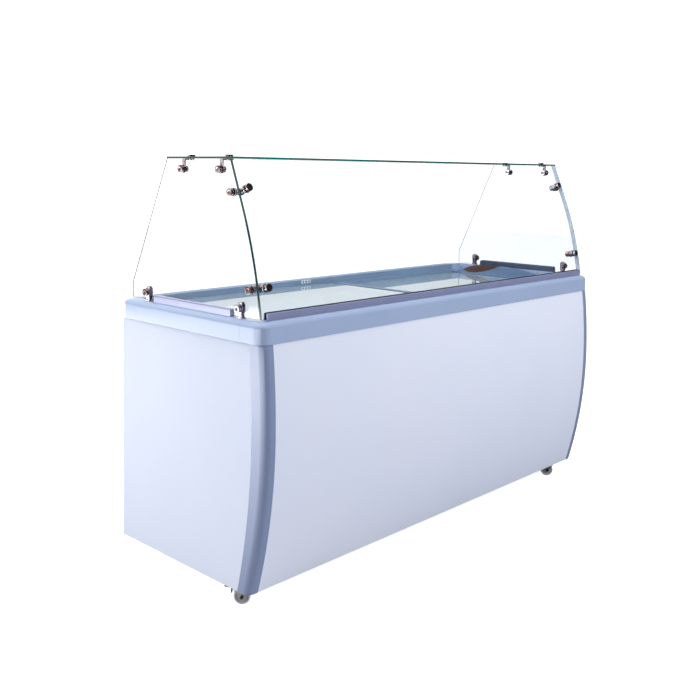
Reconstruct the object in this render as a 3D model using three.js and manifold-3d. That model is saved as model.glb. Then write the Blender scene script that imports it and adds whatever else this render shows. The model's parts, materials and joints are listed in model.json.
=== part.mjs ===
// Retail chest freezer with a glass guard, in millimetres.
// +X runs along the length, -Y is the customer's side, +Y the operator's side, +Z is up.
// The origin is on the floor, under the centre of the bounding box.
import * as THREE from 'three';
import { mergeVertices } from 'three/addons/utils/BufferGeometryUtils.js';
import Module from 'manifold-3d';

const wasm = await Module();
wasm.setup();

// ---------------------------------------------------------------- driving dimensions
const GAP = 0.3;                   // clearance between pieces that touch

// top frame
const HALF_LENGTH = 900;
const FRAME_FRONT = -338;
const FRAME_REAR = 352;
const FRAME_BOTTOM = 795;
const FRAME_TOP = 858;
const FRAME_CORNER_R = 36;         // corner radius seen from above, at the frame's foot
const FRAME_EDGE_R = 18;           // rounding of the outer top edge
const CORNER_PIECE = 93;           // length of a corner piece along each side
const MOUTH_X = 822;
const MOUTH_FRONT = -259;
const MOUTH_REAR = 273;
const TRACK_STEP = 12;             // width of each lid ledge
const END_POCKET_X = 862;          // how far the lid pockets reach at the ends

// cabinet
const BODY_BOTTOM = 76;
const BODY_TOP = FRAME_BOTTOM - GAP;
const BODY_HALF = 891;             // outer faces of the end panels
const BODY_REAR = 342;             // outer face of the rear panel
const SHEET = 2;
const BELLY_Z = 547;               // height where the front bulges most
const PILLAR_PROUD = 2;            // how far the pillars stand out from the panels
const PILLAR_WALL = 8;
const PILLAR_INNER_X = 855;        // where the pillar meets the front panel
const PILLAR_R = 25;
const CURVE_STEPS = 12;

// tank and insulation
const TANK_WALL = 2;
const TANK_FLOOR = 190;
const STEP_X = 540;                // the tank floor rises from here to the right end
const STEP_FLOOR = 400;
const FLANGE_WIDTH = 20;
const FLANGE_THICK = 1.5;
const ROOM_X = 592;                // machine room, under the step
const ROOM_FRONT = -200;
const ROOM_TOP = 348;
const PAN_TOP = 79;

// lids
const LID_THICK = 4;
const LOWER_LID_TOP = 823;
const UPPER_LID_TOP = 838;
const LID_REACH = 856;             // outer end of each lid's glass
const LID_OVERLAP = 20;            // each lid passes the middle by this much
const HANDLE_INNER_X = 790;
const HANDLE_CREST_X = 846;
const HANDLE_OUTER_X = 858.3;
const HANDLE_BASE = 2;             // thickness of the handle where it lies flat on the glass
const ARCH_HEIGHT = 38;
const ARCH_PEAK_Y = 60;
const ARCH_FRONT_REACH = 250;
const ARCH_REAR_REACH = 215;
const GRIP_FRONT_Y = 59;
const GRIP_LOW_Y = 166;
const GRIP_REAR_Y = 251;
const GRIP_LOW_RISE = 8;           // lowest point of the grip above the glass

// guard
const GLASS = 6;
const GUARD_X = 875;               // middle plane of the side glasses
const GUARD_TOP = 1312;            // upper face of the top glass
const TOP_GLASS_FRONT = -183;
const TOP_GLASS_REAR = 127;
const SIDE_REAR_Y = 307;
const SIDE_REAR_Z = 916;           // where the rear edge starts to slope
const SIDE_TOP_REAR_Y = 126;
const BEND_TOP = { y: -231.3, z: 1170 };   // where the front glass turns from curved to straight
const BEND_R = 1300;
const BEND_STEPS = 8;
const LEAN = 0.372;                // lean of the straight upper part, in radians
const CHANNEL_WIDTH = 20;
const CHANNEL_HEIGHT = 20.7;
const CHANNEL_WALL = 3;
const SIDE_CHANNEL_Y = [-188, 184];
const FRONT_CHANNEL_X = 861;
const FRONT_CHANNEL_Y = -309;

// clamps
const PAD_GAP = 0.6;               // thickness of the soft pads between clamp and glass
const STUD_R = 4;
const HOLE_R = 5;
const KNOB_R = 12;
const KNOB_LENGTH = 10;
const BOSS_R = 13;
const BASE_CLAMP_Y = { front: -228, rear: 219 };
const TOP_CLAMP_Y = { front: -131, rear: 47 };
const TOP_CLAMP_Z = 1275;
const TOP_BOLT_INSET = 30;         // from the side glass to the bolt through the top glass
const TOP_BOSS = 13;               // from the side glass to the end of the boss inside it
const BRACKET_WIDTH = 13;
const BRACKET_THICK = 5;
const CORNER_CLAMP_Z = { upper: 1222, lower: 947 };
const CORNER_ARM = 27;             // from the inner glass faces to the elbow's centre

// casters
const WHEEL_R = 25;
const WHEEL_WIDTH = 20;
const AXLE_R = 4;
const AXLE_CLEARANCE = 0.6;
const CASTER_X = { front: 812, rear: 750 };
const CASTER_Y = { front: -194, rear: 252 };
const TRAIL = 20;                  // from the swivel axis to the axle
const ROLL_ANGLE = -0.809;         // direction in which the casters roll, in radians
const SEAT_BOTTOM = 70;            // underside of the caster seats on the pan
const SEAT_HALF = 32;
const FORK_GAP = 23;
const FORK_SHEET = 2;
const BRAKE_PIN = { x: -36, z: 52, r: 2.5 };   // from the swivel axis, with the caster rolling along +X
const LEVER_WIDTH = 12;

// machine room
const COMPRESSOR = { x: 705, y: 100, halfX: 80, halfY: 60 };
const CONDENSER = { x0: 650, x1: 860, y0: 285, y1: 320, height: 215 };
const FAN = { x: 755, y: 258, z: PAN_TOP + 108, arm: 96 };

// service cover and controls at the rear
const COVER = { x0: 575, x1: 865, z0: 105, z1: 330, thick: 3.5 };
const COVER_LAP = 15;
const SLOT_COUNT = 12;
const CONTROL_X = 607;
const KNOB_Z = 288;
const SWITCH_Z = 232;
const GLAND_Z = 140;

// ---------------------------------------------------------------- materials
function material(color, roughness, metalness = 0, opacity = 1) {
  return new THREE.MeshStandardMaterial({
    color, roughness, metalness, opacity, transparent: opacity < 1,
  });
}
const paint = material(0xe4e9f4, 0.35);
const frameBlue = material(0x9aaccb, 0.4);
const pillarBlue = material(0x9dabc8, 0.4);
const channelBlue = material(0x8c8fb0, 0.35);
const glass = material(0xdcebe8, 0.05, 0, 0.3);
const chrome = material(0xd5d8dc, 0.1, 1);
const steel = material(0xb4b6ba, 0.35, 1);
const liner = material(0xe6e8ea, 0.4, 0.3);
const foam = material(0xe8d9a8, 0.9);
const brown = material(0x4a2a24, 0.6);
const tyre = material(0xc9ccd2, 0.45);
const black = material(0x1b1c1e, 0.5);
const aluminium = material(0xaeb2b6, 0.45, 1);

const freezer = new THREE.Group();

function add(name, shape, look) {
  const geometry = shape.isBufferGeometry ? shape : geometryOf(shape);
  geometry.computeVertexNormals();
  const mesh = new THREE.Mesh(geometry, look);
  mesh.name = name;
  freezer.add(mesh);
}

// ---------------------------------------------------------------- solids
function solidOf(geometry) {
  geometry.deleteAttribute('normal');
  geometry.deleteAttribute('uv');
  const merged = mergeVertices(geometry, 1e-4);
  return new wasm.Manifold(new wasm.Mesh({
    numProp: 3,
    vertProperties: new Float32Array(merged.attributes.position.array),
    triVerts: new Uint32Array(merged.index.array),
  }));
}

function geometryOf(solid) {
  const mesh = solid.getMesh();
  const geometry = new THREE.BufferGeometry();
  geometry.setAttribute('position', new THREE.BufferAttribute(mesh.vertProperties, 3));
  geometry.setIndex(new THREE.BufferAttribute(mesh.triVerts, 1));
  return geometry;
}

function join(first, ...others) {
  return others.reduce((whole, part) => whole.add(part), first);
}

function cut(first, ...others) {
  return others.reduce((whole, part) => whole.subtract(part), first);
}

function block(x0, x1, y0, y1, z0, z1) {
  const geometry = new THREE.BoxGeometry(Math.abs(x1 - x0), y1 - y0, z1 - z0);
  geometry.translate((x0 + x1) / 2, (y0 + y1) / 2, (z0 + z1) / 2);
  return solidOf(geometry);
}

// A round bar between two points; its radius may change from one end to the other.
function bar(from, to, r0, r1 = r0, segments = 16) {
  const way = to.clone().sub(from);
  const geometry = new THREE.CylinderGeometry(r1, r0, way.length(), segments);
  const turn = new THREE.Quaternion().setFromUnitVectors(new THREE.Vector3(0, 1, 0), way.normalize());
  geometry.applyQuaternion(turn);
  const middle = from.clone().add(to).multiplyScalar(0.5);
  geometry.translate(middle.x, middle.y, middle.z);
  return solidOf(geometry);
}

const X_AXIS = new THREE.Vector3(1, 0, 0);
const Y_AXIS = new THREE.Vector3(0, 1, 0);
const Z_AXIS = new THREE.Vector3(0, 0, 1);
const point = (x, y, z) => new THREE.Vector3(x, y, z);

// Extrudes an outline of [y, z] pairs along X.
function slabAlongX(outline, x0, x1) {
  const shape = new THREE.Shape(outline.map(([y, z]) => new THREE.Vector2(y, z)));
  const geometry = new THREE.ExtrudeGeometry(shape, { depth: Math.abs(x1 - x0), bevelEnabled: false });
  geometry.applyMatrix4(new THREE.Matrix4().makeBasis(Y_AXIS, Z_AXIS, X_AXIS));
  geometry.translate(Math.min(x0, x1), 0, 0);
  return solidOf(geometry);
}

// Joins matching counter-clockwise outlines of [u, v] pairs, one at each level, into a closed body.
function loft(outlines, levels) {
  const count = outlines[0].length;
  const positions = [];
  outlines.forEach((outline, i) => outline.forEach(([u, v]) => positions.push(u, v, levels[i])));
  const index = [];
  for (let i = 0; i < outlines.length - 1; i++) {
    for (let j = 0; j < count; j++) {
      const a = i * count + j;
      const b = i * count + (j + 1) % count;
      index.push(a, b, b + count, a, b + count, a + count);
    }
  }
  const last = (outlines.length - 1) * count;
  const flat = (outline) => outline.map(([u, v]) => new THREE.Vector2(u, v));
  for (const [a, b, c] of THREE.ShapeUtils.triangulateShape(flat(outlines[0]), [])) {
    index.push(a, c, b);
  }
  for (const [a, b, c] of THREE.ShapeUtils.triangulateShape(flat(outlines.at(-1)), [])) {
    index.push(last + a, last + b, last + c);
  }
  const geometry = new THREE.BufferGeometry();
  geometry.setAttribute('position', new THREE.Float32BufferAttribute(positions, 3));
  geometry.setIndex(index);
  return geometry;
}

function arc(centre, radius, from, to, steps) {
  return Array.from({ length: steps + 1 }, (_, i) => {
    const angle = from + (to - from) * i / steps;
    return [centre[0] + radius * Math.cos(angle), centre[1] + radius * Math.sin(angle)];
  });
}

function roundedRectangle(x0, x1, y0, y1, radius) {
  const quarter = Math.PI / 2;
  const centres = [[x1 - radius, y1 - radius], [x0 + radius, y1 - radius],
    [x0 + radius, y0 + radius], [x1 - radius, y0 + radius]];
  return centres.flatMap((centre, i) => arc(centre, radius, i * quarter, (i + 1) * quarter, 6));
}

// ---------------------------------------------------------------- bowed front
// A curve that is furthest forward at the belly and falls back by parabolas above and below it.
function bulge(z, belly, topSetback, footSetback) {
  const above = z > BELLY_Z;
  const reach = above ? FRAME_BOTTOM - BELLY_Z : BELLY_Z - BODY_BOTTOM;
  return belly + (above ? topSetback : footSetback) * ((z - BELLY_Z) / reach) ** 2;
}
const pillarFront = (z) => bulge(z, -352, 14, 70);
const pillarRear = (z) => bulge(z, -292, 13, 57);
const bodyLevels = Array.from({ length: CURVE_STEPS + 1 },
  (_, i) => BODY_BOTTOM + (BODY_TOP - BODY_BOTTOM) * i / CURVE_STEPS);

// The closed [y, z] outline between two curves of height.
function between(front, rear, levels = bodyLevels) {
  return [...levels.map((z) => [front(z), z]).reverse(), ...levels.map((z) => [rear(z), z])];
}

function buildPanels() {
  const face = (z) => pillarFront(z) + PILLAR_PROUD;
  const frontSheet = between(face, (z) => face(z) + SHEET);
  add('front_panel', slabAlongX(frontSheet, GAP - PILLAR_INNER_X, PILLAR_INNER_X - GAP), paint);

  const endSheet = between((z) => pillarRear(z) + GAP, () => BODY_REAR - SHEET - GAP);
  for (const [name, side] of [['left', -1], ['right', 1]]) {
    add(`side_panel_${name}`, slabAlongX(endSheet, side * (BODY_HALF - SHEET), side * BODY_HALF), paint);
  }

  const rearSheet = block(-BODY_HALF, BODY_HALF, BODY_REAR - SHEET, BODY_REAR, BODY_BOTTOM, BODY_TOP);
  const opening = block(COVER.x0 + COVER_LAP, COVER.x1 - COVER_LAP, BODY_REAR - 20, BODY_REAR + 20,
    COVER.z0 + COVER_LAP, COVER.z1 - COVER_LAP);
  add('rear_panel', rearSheet.subtract(opening), paint);
}

// The L-shaped section of a pillar at one height, on the right-hand side.
function pillarSection(z) {
  const front = pillarFront(z);
  const rear = pillarRear(z);
  const outer = BODY_HALF + PILLAR_PROUD;
  const inner = outer - PILLAR_WALL;
  return [
    [PILLAR_INNER_X, front],
    ...arc([outer - PILLAR_R, front + PILLAR_R], PILLAR_R, -Math.PI / 2, 0, 6),
    [outer, rear], [inner, rear], [inner, front + PILLAR_WALL], [PILLAR_INNER_X, front + PILLAR_WALL],
  ];
}

function buildPillars() {
  const right = bodyLevels.map(pillarSection);
  const left = right.map((outline) => outline.map(([x, y]) => [-x, y]).reverse());
  add('corner_pillar_left', loft(left, bodyLevels), pillarBlue);
  add('corner_pillar_right', loft(right, bodyLevels), pillarBlue);
}

// ---------------------------------------------------------------- tank, insulation and pan
function tankShape(grow, top) {
  const [front, rear] = [MOUTH_FRONT - grow, MOUTH_REAR + grow];
  const low = block(-MOUTH_X - grow, STEP_X + grow, front, rear, TANK_FLOOR - grow, top);
  const high = block(0, MOUTH_X + grow, front, rear, STEP_FLOOR - grow, top);
  return low.add(high);
}

function buildTank() {
  const flange = block(-MOUTH_X - FLANGE_WIDTH, MOUTH_X + FLANGE_WIDTH, MOUTH_FRONT - FLANGE_WIDTH,
    MOUTH_REAR + FLANGE_WIDTH, BODY_TOP - FLANGE_THICK, BODY_TOP);
  const shell = tankShape(TANK_WALL, BODY_TOP).add(flange);
  add('inner_liner', shell.subtract(tankShape(0, BODY_TOP + 10)), liner);
}

function buildInsulation() {
  const foamTop = BODY_TOP - FLANGE_THICK - GAP;
  const foamBottom = PAN_TOP + GAP;
  const levels = bodyLevels.map((z) => THREE.MathUtils.clamp(z, foamBottom, foamTop));
  const front = (z) => pillarFront(z) + PILLAR_PROUD + SHEET + GAP;
  const profile = between(front, () => BODY_REAR - SHEET - GAP, levels);
  const foamX = BODY_HALF - SHEET - GAP;
  const whole = slabAlongX(profile, -foamX, foamX);
  const tools = [
    tankShape(TANK_WALL + GAP, BODY_TOP + 10),
    block(ROOM_X, foamX + 10, ROOM_FRONT, BODY_REAR, BODY_BOTTOM - 10, ROOM_TOP),
  ];
  const innerWall = BODY_HALF + PILLAR_PROUD - PILLAR_WALL - GAP;
  const behindSideLeg = between((z) => pillarFront(z) - 20, (z) => pillarRear(z) + GAP);
  const behindFrontLeg = between((z) => pillarFront(z) - 20, (z) => pillarFront(z) + PILLAR_WALL + GAP);
  for (const side of [-1, 1]) {
    tools.push(slabAlongX(behindSideLeg, side * innerWall, side * (innerWall + 20)));
    tools.push(slabAlongX(behindFrontLeg, side * (PILLAR_INNER_X - GAP), side * (innerWall + 20)));
  }
  add('foam_insulation', cut(whole, ...tools), foam);
}

// The front right caster has swung half a turn away from the others.
const casters = [
  { name: 'front_left', x: -CASTER_X.front, y: CASTER_Y.front, angle: ROLL_ANGLE },
  { name: 'front_right', x: CASTER_X.front, y: CASTER_Y.front, angle: ROLL_ANGLE + Math.PI },
  { name: 'rear_left', x: -CASTER_X.rear, y: CASTER_Y.rear, angle: ROLL_ANGLE },
  { name: 'rear_right', x: CASTER_X.rear, y: CASTER_Y.rear, angle: ROLL_ANGLE },
];

function buildPan() {
  const panX = BODY_HALF - SHEET - GAP;
  const panFront = pillarFront(BODY_BOTTOM) + PILLAR_WALL + 2;
  const plate = block(-panX + PILLAR_WALL, panX - PILLAR_WALL, panFront, BODY_REAR - SHEET - GAP,
    BODY_BOTTOM, PAN_TOP);
  const seats = casters.map(({ x, y }) => block(x - SEAT_HALF, x + SEAT_HALF,
    y - SEAT_HALF, y + SEAT_HALF, SEAT_BOTTOM, BODY_BOTTOM + 1));
  add('base_pan', join(plate, ...seats), steel);
}

// ---------------------------------------------------------------- top frame
function frameRing() {
  const straight = FRAME_TOP - FRAME_EDGE_R;
  const steps = 5;
  const insets = [0];
  const levels = [FRAME_BOTTOM];
  for (let i = 0; i <= steps; i++) {
    const angle = i / steps * Math.PI / 2;
    insets.push(FRAME_EDGE_R * (1 - Math.cos(angle)));
    levels.push(straight + FRAME_EDGE_R * Math.sin(angle));
  }
  const outlines = insets.map((inset) => roundedRectangle(-HALF_LENGTH + inset, HALF_LENGTH - inset,
    FRAME_FRONT + inset, FRAME_REAR - inset, FRAME_CORNER_R + inset));
  const lowerLedge = LOWER_LID_TOP - LID_THICK - GAP;
  const upperLedge = UPPER_LID_TOP - LID_THICK - GAP;
  const above = FRAME_TOP + 10;
  return cut(solidOf(loft(outlines, levels)),
    block(-MOUTH_X, MOUTH_X, MOUTH_FRONT, MOUTH_REAR, FRAME_BOTTOM - 10, above),
    block(-MOUTH_X, END_POCKET_X, MOUTH_FRONT - TRACK_STEP, MOUTH_REAR + TRACK_STEP, lowerLedge, above),
    block(-END_POCKET_X, END_POCKET_X, MOUTH_FRONT - 2 * TRACK_STEP, MOUTH_REAR + 2 * TRACK_STEP,
      upperLedge, above));
}

function buildFrame() {
  const ring = frameRing();
  const seamX = HALF_LENGTH - CORNER_PIECE;
  const seamFront = FRAME_FRONT + CORNER_PIECE;
  const seamRear = FRAME_REAR - CORNER_PIECE;
  const spans = {
    x: { left: [-1000, -seamX - GAP], middle: [-seamX, seamX], right: [seamX + GAP, 1000] },
    y: { front: [-500, seamFront - GAP], middle: [seamFront, seamRear], rear: [seamRear + GAP, 500] },
  };
  const piece = (x, y) => ring.intersect(block(...spans.x[x], ...spans.y[y], 0, 2000));
  add('frame_front', piece('middle', 'front'), frameBlue);
  add('frame_rear', piece('middle', 'rear'), frameBlue);
  add('frame_left', piece('left', 'middle'), frameBlue);
  add('frame_right', piece('right', 'middle'), frameBlue);
  for (const y of ['front', 'rear']) {
    for (const x of ['left', 'right']) {
      add(`frame_corner_${y}_${x}`, piece(x, y), frameBlue);
    }
  }
}

// ---------------------------------------------------------------- lids
// How high the handle arches above its base, along the lid's depth.
function archRise(y) {
  const behind = y > ARCH_PEAK_Y;
  const reach = behind ? ARCH_REAR_REACH : ARCH_FRONT_REACH;
  const fall = (Math.abs(y - ARCH_PEAK_Y) / reach) ** (behind ? 4 : 2);
  return Math.max(0, ARCH_HEIGHT * (1 - fall));
}

// The handle's [x, z] section at one depth: flat on the glass, up a smooth slope, over the crest.
function handleSection(y, lidTop) {
  const rise = archRise(y);
  const base = lidTop + HANDLE_BASE;
  const slope = Array.from({ length: 7 }, (_, i) => {
    const share = i / 6;
    const x = HANDLE_INNER_X + (HANDLE_CREST_X - HANDLE_INNER_X) * share;
    return [x, base + rise * THREE.MathUtils.smoothstep(share, 0, 1)];
  });
  return [
    [HANDLE_INNER_X, lidTop + GAP],
    [LID_REACH + GAP, lidTop + GAP],
    [LID_REACH + GAP, lidTop - LID_THICK],
    [HANDLE_OUTER_X, lidTop - LID_THICK],
    [HANDLE_OUTER_X, base + rise * 0.6],
    [HANDLE_OUTER_X - 4, base + rise * 0.92],
    ...slope.reverse(),
  ];
}

function handleSolid(lidTop, front, rear) {
  const steps = 16;
  const depths = Array.from({ length: steps + 1 }, (_, i) => rear - (rear - front) * i / steps);
  const geometry = loft(depths.map((y) => handleSection(y, lidTop)), depths.map((y) => -y));
  geometry.applyMatrix4(new THREE.Matrix4().makeBasis(X_AXIS, Z_AXIS, Y_AXIS.clone().negate()));
  return solidOf(geometry);
}

// The lens that the grip fills: an arc under the crest, open upwards.
function gripTool(lidTop, lift) {
  const crest = (y) => lidTop + HANDLE_BASE + archRise(y);
  const curve = new THREE.QuadraticBezierCurve(
    new THREE.Vector2(GRIP_FRONT_Y, crest(GRIP_FRONT_Y)),
    new THREE.Vector2(GRIP_LOW_Y, 2 * (lidTop + GRIP_LOW_RISE) - (crest(GRIP_FRONT_Y) + crest(GRIP_REAR_Y)) / 2),
    new THREE.Vector2(GRIP_REAR_Y, crest(GRIP_REAR_Y)),
  );
  const under = curve.getPoints(10).map(({ x, y }) => [x, y + lift]);
  const roof = lidTop + 2 * ARCH_HEIGHT;
  const outline = [...under, [GRIP_REAR_Y, roof], [GRIP_FRONT_Y, roof]];
  return slabAlongX(outline, HANDLE_INNER_X - 10, HANDLE_OUTER_X + 10);
}

function buildLid(name, side, lidTop, track) {
  const front = MOUTH_FRONT - track * TRACK_STEP + 2;
  const rear = MOUTH_REAR + track * TRACK_STEP - 2;
  const [inner, outer] = [-side * LID_OVERLAP, side * LID_REACH];
  add(`lid_glass_${name}`, block(inner, outer, front, rear, lidTop - LID_THICK, lidTop), glass);

  const handle = handleSolid(lidTop, front, rear);
  const mirror = new THREE.Matrix4().makeScale(side, 1, 1).toArray();
  add(`lid_handle_${name}`, handle.subtract(gripTool(lidTop, 0)).transform(mirror), frameBlue);
  add(`lid_grip_${name}`, handle.intersect(gripTool(lidTop, GAP)).transform(mirror), brown);

  const trim = block(inner - side * 5, inner + side * 14, MOUTH_FRONT + 2, MOUTH_REAR - 2,
    lidTop - LID_THICK - 1.5, lidTop + 3);
  const groove = block(inner - side * GAP, inner + side * 40, front - 5, rear + 5,
    lidTop - LID_THICK - GAP, lidTop + GAP);
  add(`lid_trim_${name}`, trim.subtract(groove), frameBlue);
}

// ---------------------------------------------------------------- guard
const GLASS_FOOT = FRAME_TOP + GAP + CHANNEL_WALL + GAP;
const GLASS_HEAD = GUARD_TOP - GLASS - GAP;
const bendCentre = {
  y: BEND_TOP.y + BEND_R * Math.cos(LEAN),
  z: BEND_TOP.z - BEND_R * Math.sin(LEAN),
};

// One face of the front glass, as [y, z] points from foot to head; offset is outwards.
function frontFace(offset) {
  const radius = BEND_R + offset;
  const footLean = Math.asin((GLASS_FOOT - bendCentre.z) / radius);
  const bend = Array.from({ length: BEND_STEPS + 1 }, (_, i) => {
    const lean = footLean + (LEAN - footLean) * i / BEND_STEPS;
    return [bendCentre.y - radius * Math.cos(lean), bendCentre.z + radius * Math.sin(lean)];
  });
  const [y, z] = bend.at(-1);
  return [...bend, [y + (GLASS_HEAD - z) * Math.tan(LEAN), GLASS_HEAD]];
}

// The front glass at a given height: its middle line and its outward direction.
function frontGlassAt(z) {
  const curved = z < BEND_TOP.z;
  const lean = curved ? Math.asin((z - bendCentre.z) / BEND_R) : LEAN;
  const y = curved
    ? bendCentre.y - BEND_R * Math.cos(lean)
    : BEND_TOP.y + (z - BEND_TOP.z) * Math.tan(LEAN);
  return { y, z, out: point(0, -Math.cos(lean), Math.sin(lean)) };
}

// The elbow's centre, the same distance inside the side glass and inside the front glass.
function cornerElbow(side, z) {
  const place = frontGlassAt(z);
  const centre = point(side * (GUARD_X - GLASS / 2 - CORNER_ARM), place.y, place.z);
  return { centre: centre.addScaledVector(place.out, -GLASS / 2 - CORNER_ARM), out: place.out };
}

function drilledHole(centre, direction) {
  const reach = direction.clone().multiplyScalar(60);
  return bar(centre, centre.clone().add(reach), HOLE_R, HOLE_R, 12);
}

function buildGlasses() {
  const outer = frontFace(GLASS / 2);
  const inner = frontFace(-GLASS / 2);
  const edge = GUARD_X + GLASS / 2;
  let front = slabAlongX([...outer.slice().reverse(), ...inner], -edge, edge);
  let top = block(-edge, edge, TOP_GLASS_FRONT, TOP_GLASS_REAR, GUARD_TOP - GLASS, GUARD_TOP);
  const sideOutline = [
    ...frontFace(-GLASS / 2 - GAP).reverse(),
    [SIDE_REAR_Y, GLASS_FOOT], [SIDE_REAR_Y, SIDE_REAR_Z], [SIDE_TOP_REAR_Y, GLASS_HEAD],
  ];
  for (const [name, side] of [['left', -1], ['right', 1]]) {
    let pane = slabAlongX(sideOutline, side * (GUARD_X - GLASS / 2), side * edge);
    const outwards = point(side, 0, 0);
    for (const z of Object.values(CORNER_CLAMP_Z)) {
      const { centre, out } = cornerElbow(side, z);
      pane = pane.subtract(drilledHole(centre, outwards));
      front = front.subtract(drilledHole(centre, out));
    }
    for (const y of Object.values(TOP_CLAMP_Y)) {
      const bolt = point(side * (GUARD_X - TOP_BOLT_INSET), y, TOP_CLAMP_Z);
      pane = pane.subtract(drilledHole(bolt, outwards));
      top = top.subtract(drilledHole(bolt, point(0, 0, 1)));
    }
    add(`guard_side_${name}`, pane, glass);
  }
  add('guard_front', front, glass);
  add('guard_top', top, glass);
}

function buildChannels() {
  const z0 = FRAME_TOP + GAP;
  const z1 = z0 + CHANNEL_HEIGHT;
  const half = CHANNEL_WIDTH / 2;
  const slotHalf = half - CHANNEL_WALL;
  const [y0, y1] = SIDE_CHANNEL_Y;
  const endR = 8;
  const outline = [[y0, z0], [y1, z0], ...arc([y1 - endR, z1 - endR], endR, 0, Math.PI / 2, 5), [y0, z1]];
  for (const [name, side] of [['left', -1], ['right', 1]]) {
    const middle = side * GUARD_X;
    const body = slabAlongX(outline, middle - half, middle + half);
    const slot = block(middle - slotHalf, middle + slotHalf, y0 - 5, y1 + 5, z0 + CHANNEL_WALL, z1 + 5);
    add(`channel_${name}`, body.subtract(slot), channelBlue);
  }
  const front = block(-FRONT_CHANNEL_X, FRONT_CHANNEL_X, FRONT_CHANNEL_Y - half, FRONT_CHANNEL_Y + half,
    z0, z1);
  const slot = block(-HALF_LENGTH, HALF_LENGTH, FRONT_CHANNEL_Y - slotHalf, FRONT_CHANNEL_Y + slotHalf,
    z0 + CHANNEL_WALL, z1 + 5);
  add('channel_front', front.subtract(slot), channelBlue);
}

// ---------------------------------------------------------------- clamps
// One arm from an elbow's centre through a drilled glass: a boss inside and a knob outside.
function clampArm(centre, direction, toGlass) {
  const at = (distance) => centre.clone().addScaledVector(direction, distance);
  const outside = toGlass + GLASS + PAD_GAP;
  return join(
    bar(centre, at(toGlass - PAD_GAP), BOSS_R - 2, BOSS_R, 12),
    bar(centre, at(outside + 1), STUD_R, STUD_R, 8),
    bar(at(outside), at(outside + KNOB_LENGTH), KNOB_R, KNOB_R - 1.5, 14),
  );
}

function buildCornerClamps(name, side) {
  for (const [level, z] of Object.entries(CORNER_CLAMP_Z)) {
    const { centre, out } = cornerElbow(side, z);
    const elbow = new THREE.SphereGeometry(BOSS_R - 1, 10, 6).translate(centre.x, centre.y, centre.z);
    const body = join(solidOf(elbow), clampArm(centre, point(side, 0, 0), CORNER_ARM),
      clampArm(centre, out, CORNER_ARM));
    add(`clamp_corner_${level}_${name}`, body, chrome);
  }
}

// An angle bracket in the corner of two glasses, with a knob outside and a cap on top.
function buildTopClamps(name, side) {
  const glassBelow = GUARD_TOP - GLASS - GAP;
  const sideFace = GUARD_X - GLASS / 2;
  const boltX = side * (GUARD_X - TOP_BOLT_INSET);
  const strapX = side * (sideFace - PAD_GAP);
  for (const [end, y] of Object.entries(TOP_CLAMP_Y)) {
    const boss = point(side * (sideFace - TOP_BOSS), y, TOP_CLAMP_Z);
    const [y0, y1] = [y - BRACKET_WIDTH / 2, y + BRACKET_WIDTH / 2];
    const upright = block(strapX - side * BRACKET_THICK, strapX, y0, y1, TOP_CLAMP_Z, glassBelow);
    const strap = block(boltX, strapX, y0, y1, glassBelow - BRACKET_THICK, glassBelow);
    const upBar = (z0, z1, ...radii) => bar(point(boltX, y, z0), point(boltX, y, z1), ...radii);
    add(`clamp_top_${end}_${name}`, join(
      clampArm(boss, point(side, 0, 0), TOP_BOSS), upright, strap,
      upBar(glassBelow - BRACKET_THICK, glassBelow, BOSS_R - 1),
      upBar(glassBelow - 1, GUARD_TOP + 2, STUD_R, STUD_R, 12),
      upBar(GUARD_TOP + GAP, GUARD_TOP + 6, 12, 10.5),
    ), chrome);
  }
}

function buildBaseClamps(name, side) {
  for (const [end, y] of Object.entries(BASE_CLAMP_Y)) {
    const x = side * GUARD_X;
    const z0 = FRAME_TOP + GAP;
    const knobZ = z0 + 28;
    const post = block(x - 10, x + 10, y - 9, y + 9, z0, z0 + 42);
    const cap = bar(point(x, y, z0 + 41), point(x, y, z0 + 46), 9.5, 8);
    const knob = bar(point(x + side * 8, y, knobZ), point(x + side * 21, y, knobZ), KNOB_R, KNOB_R - 1.5);
    const slot = block(x - GLASS / 2 - GAP, x + GLASS / 2 + GAP, y - 30, y + 30, z0 + CHANNEL_WALL, z0 + 60);
    add(`clamp_base_${end}_${name}`, cut(join(post, cap, knob), slot), chrome);
  }
}

// ---------------------------------------------------------------- casters
// Casters are drawn rolling along +X with the swivel axis at x = 0, then turned into place.
function placeCaster(solid, { x, y, angle }) {
  const turn = new THREE.Matrix4().makeRotationZ(angle).setPosition(x, y, 0);
  return solid.transform(turn.toArray());
}

// Extrudes an outline of [x, z] pairs across the caster, centred on y.
function plateAcross(outline, y, thick) {
  const shape = new THREE.Shape(outline.map(([x, z]) => new THREE.Vector2(x, z)));
  const geometry = new THREE.ExtrudeGeometry(shape, { depth: thick, bevelEnabled: false });
  geometry.applyMatrix4(new THREE.Matrix4().makeBasis(X_AXIS, Z_AXIS, Y_AXIS.clone().negate()));
  geometry.translate(0, y + thick / 2, 0);
  return solidOf(geometry);
}

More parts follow.
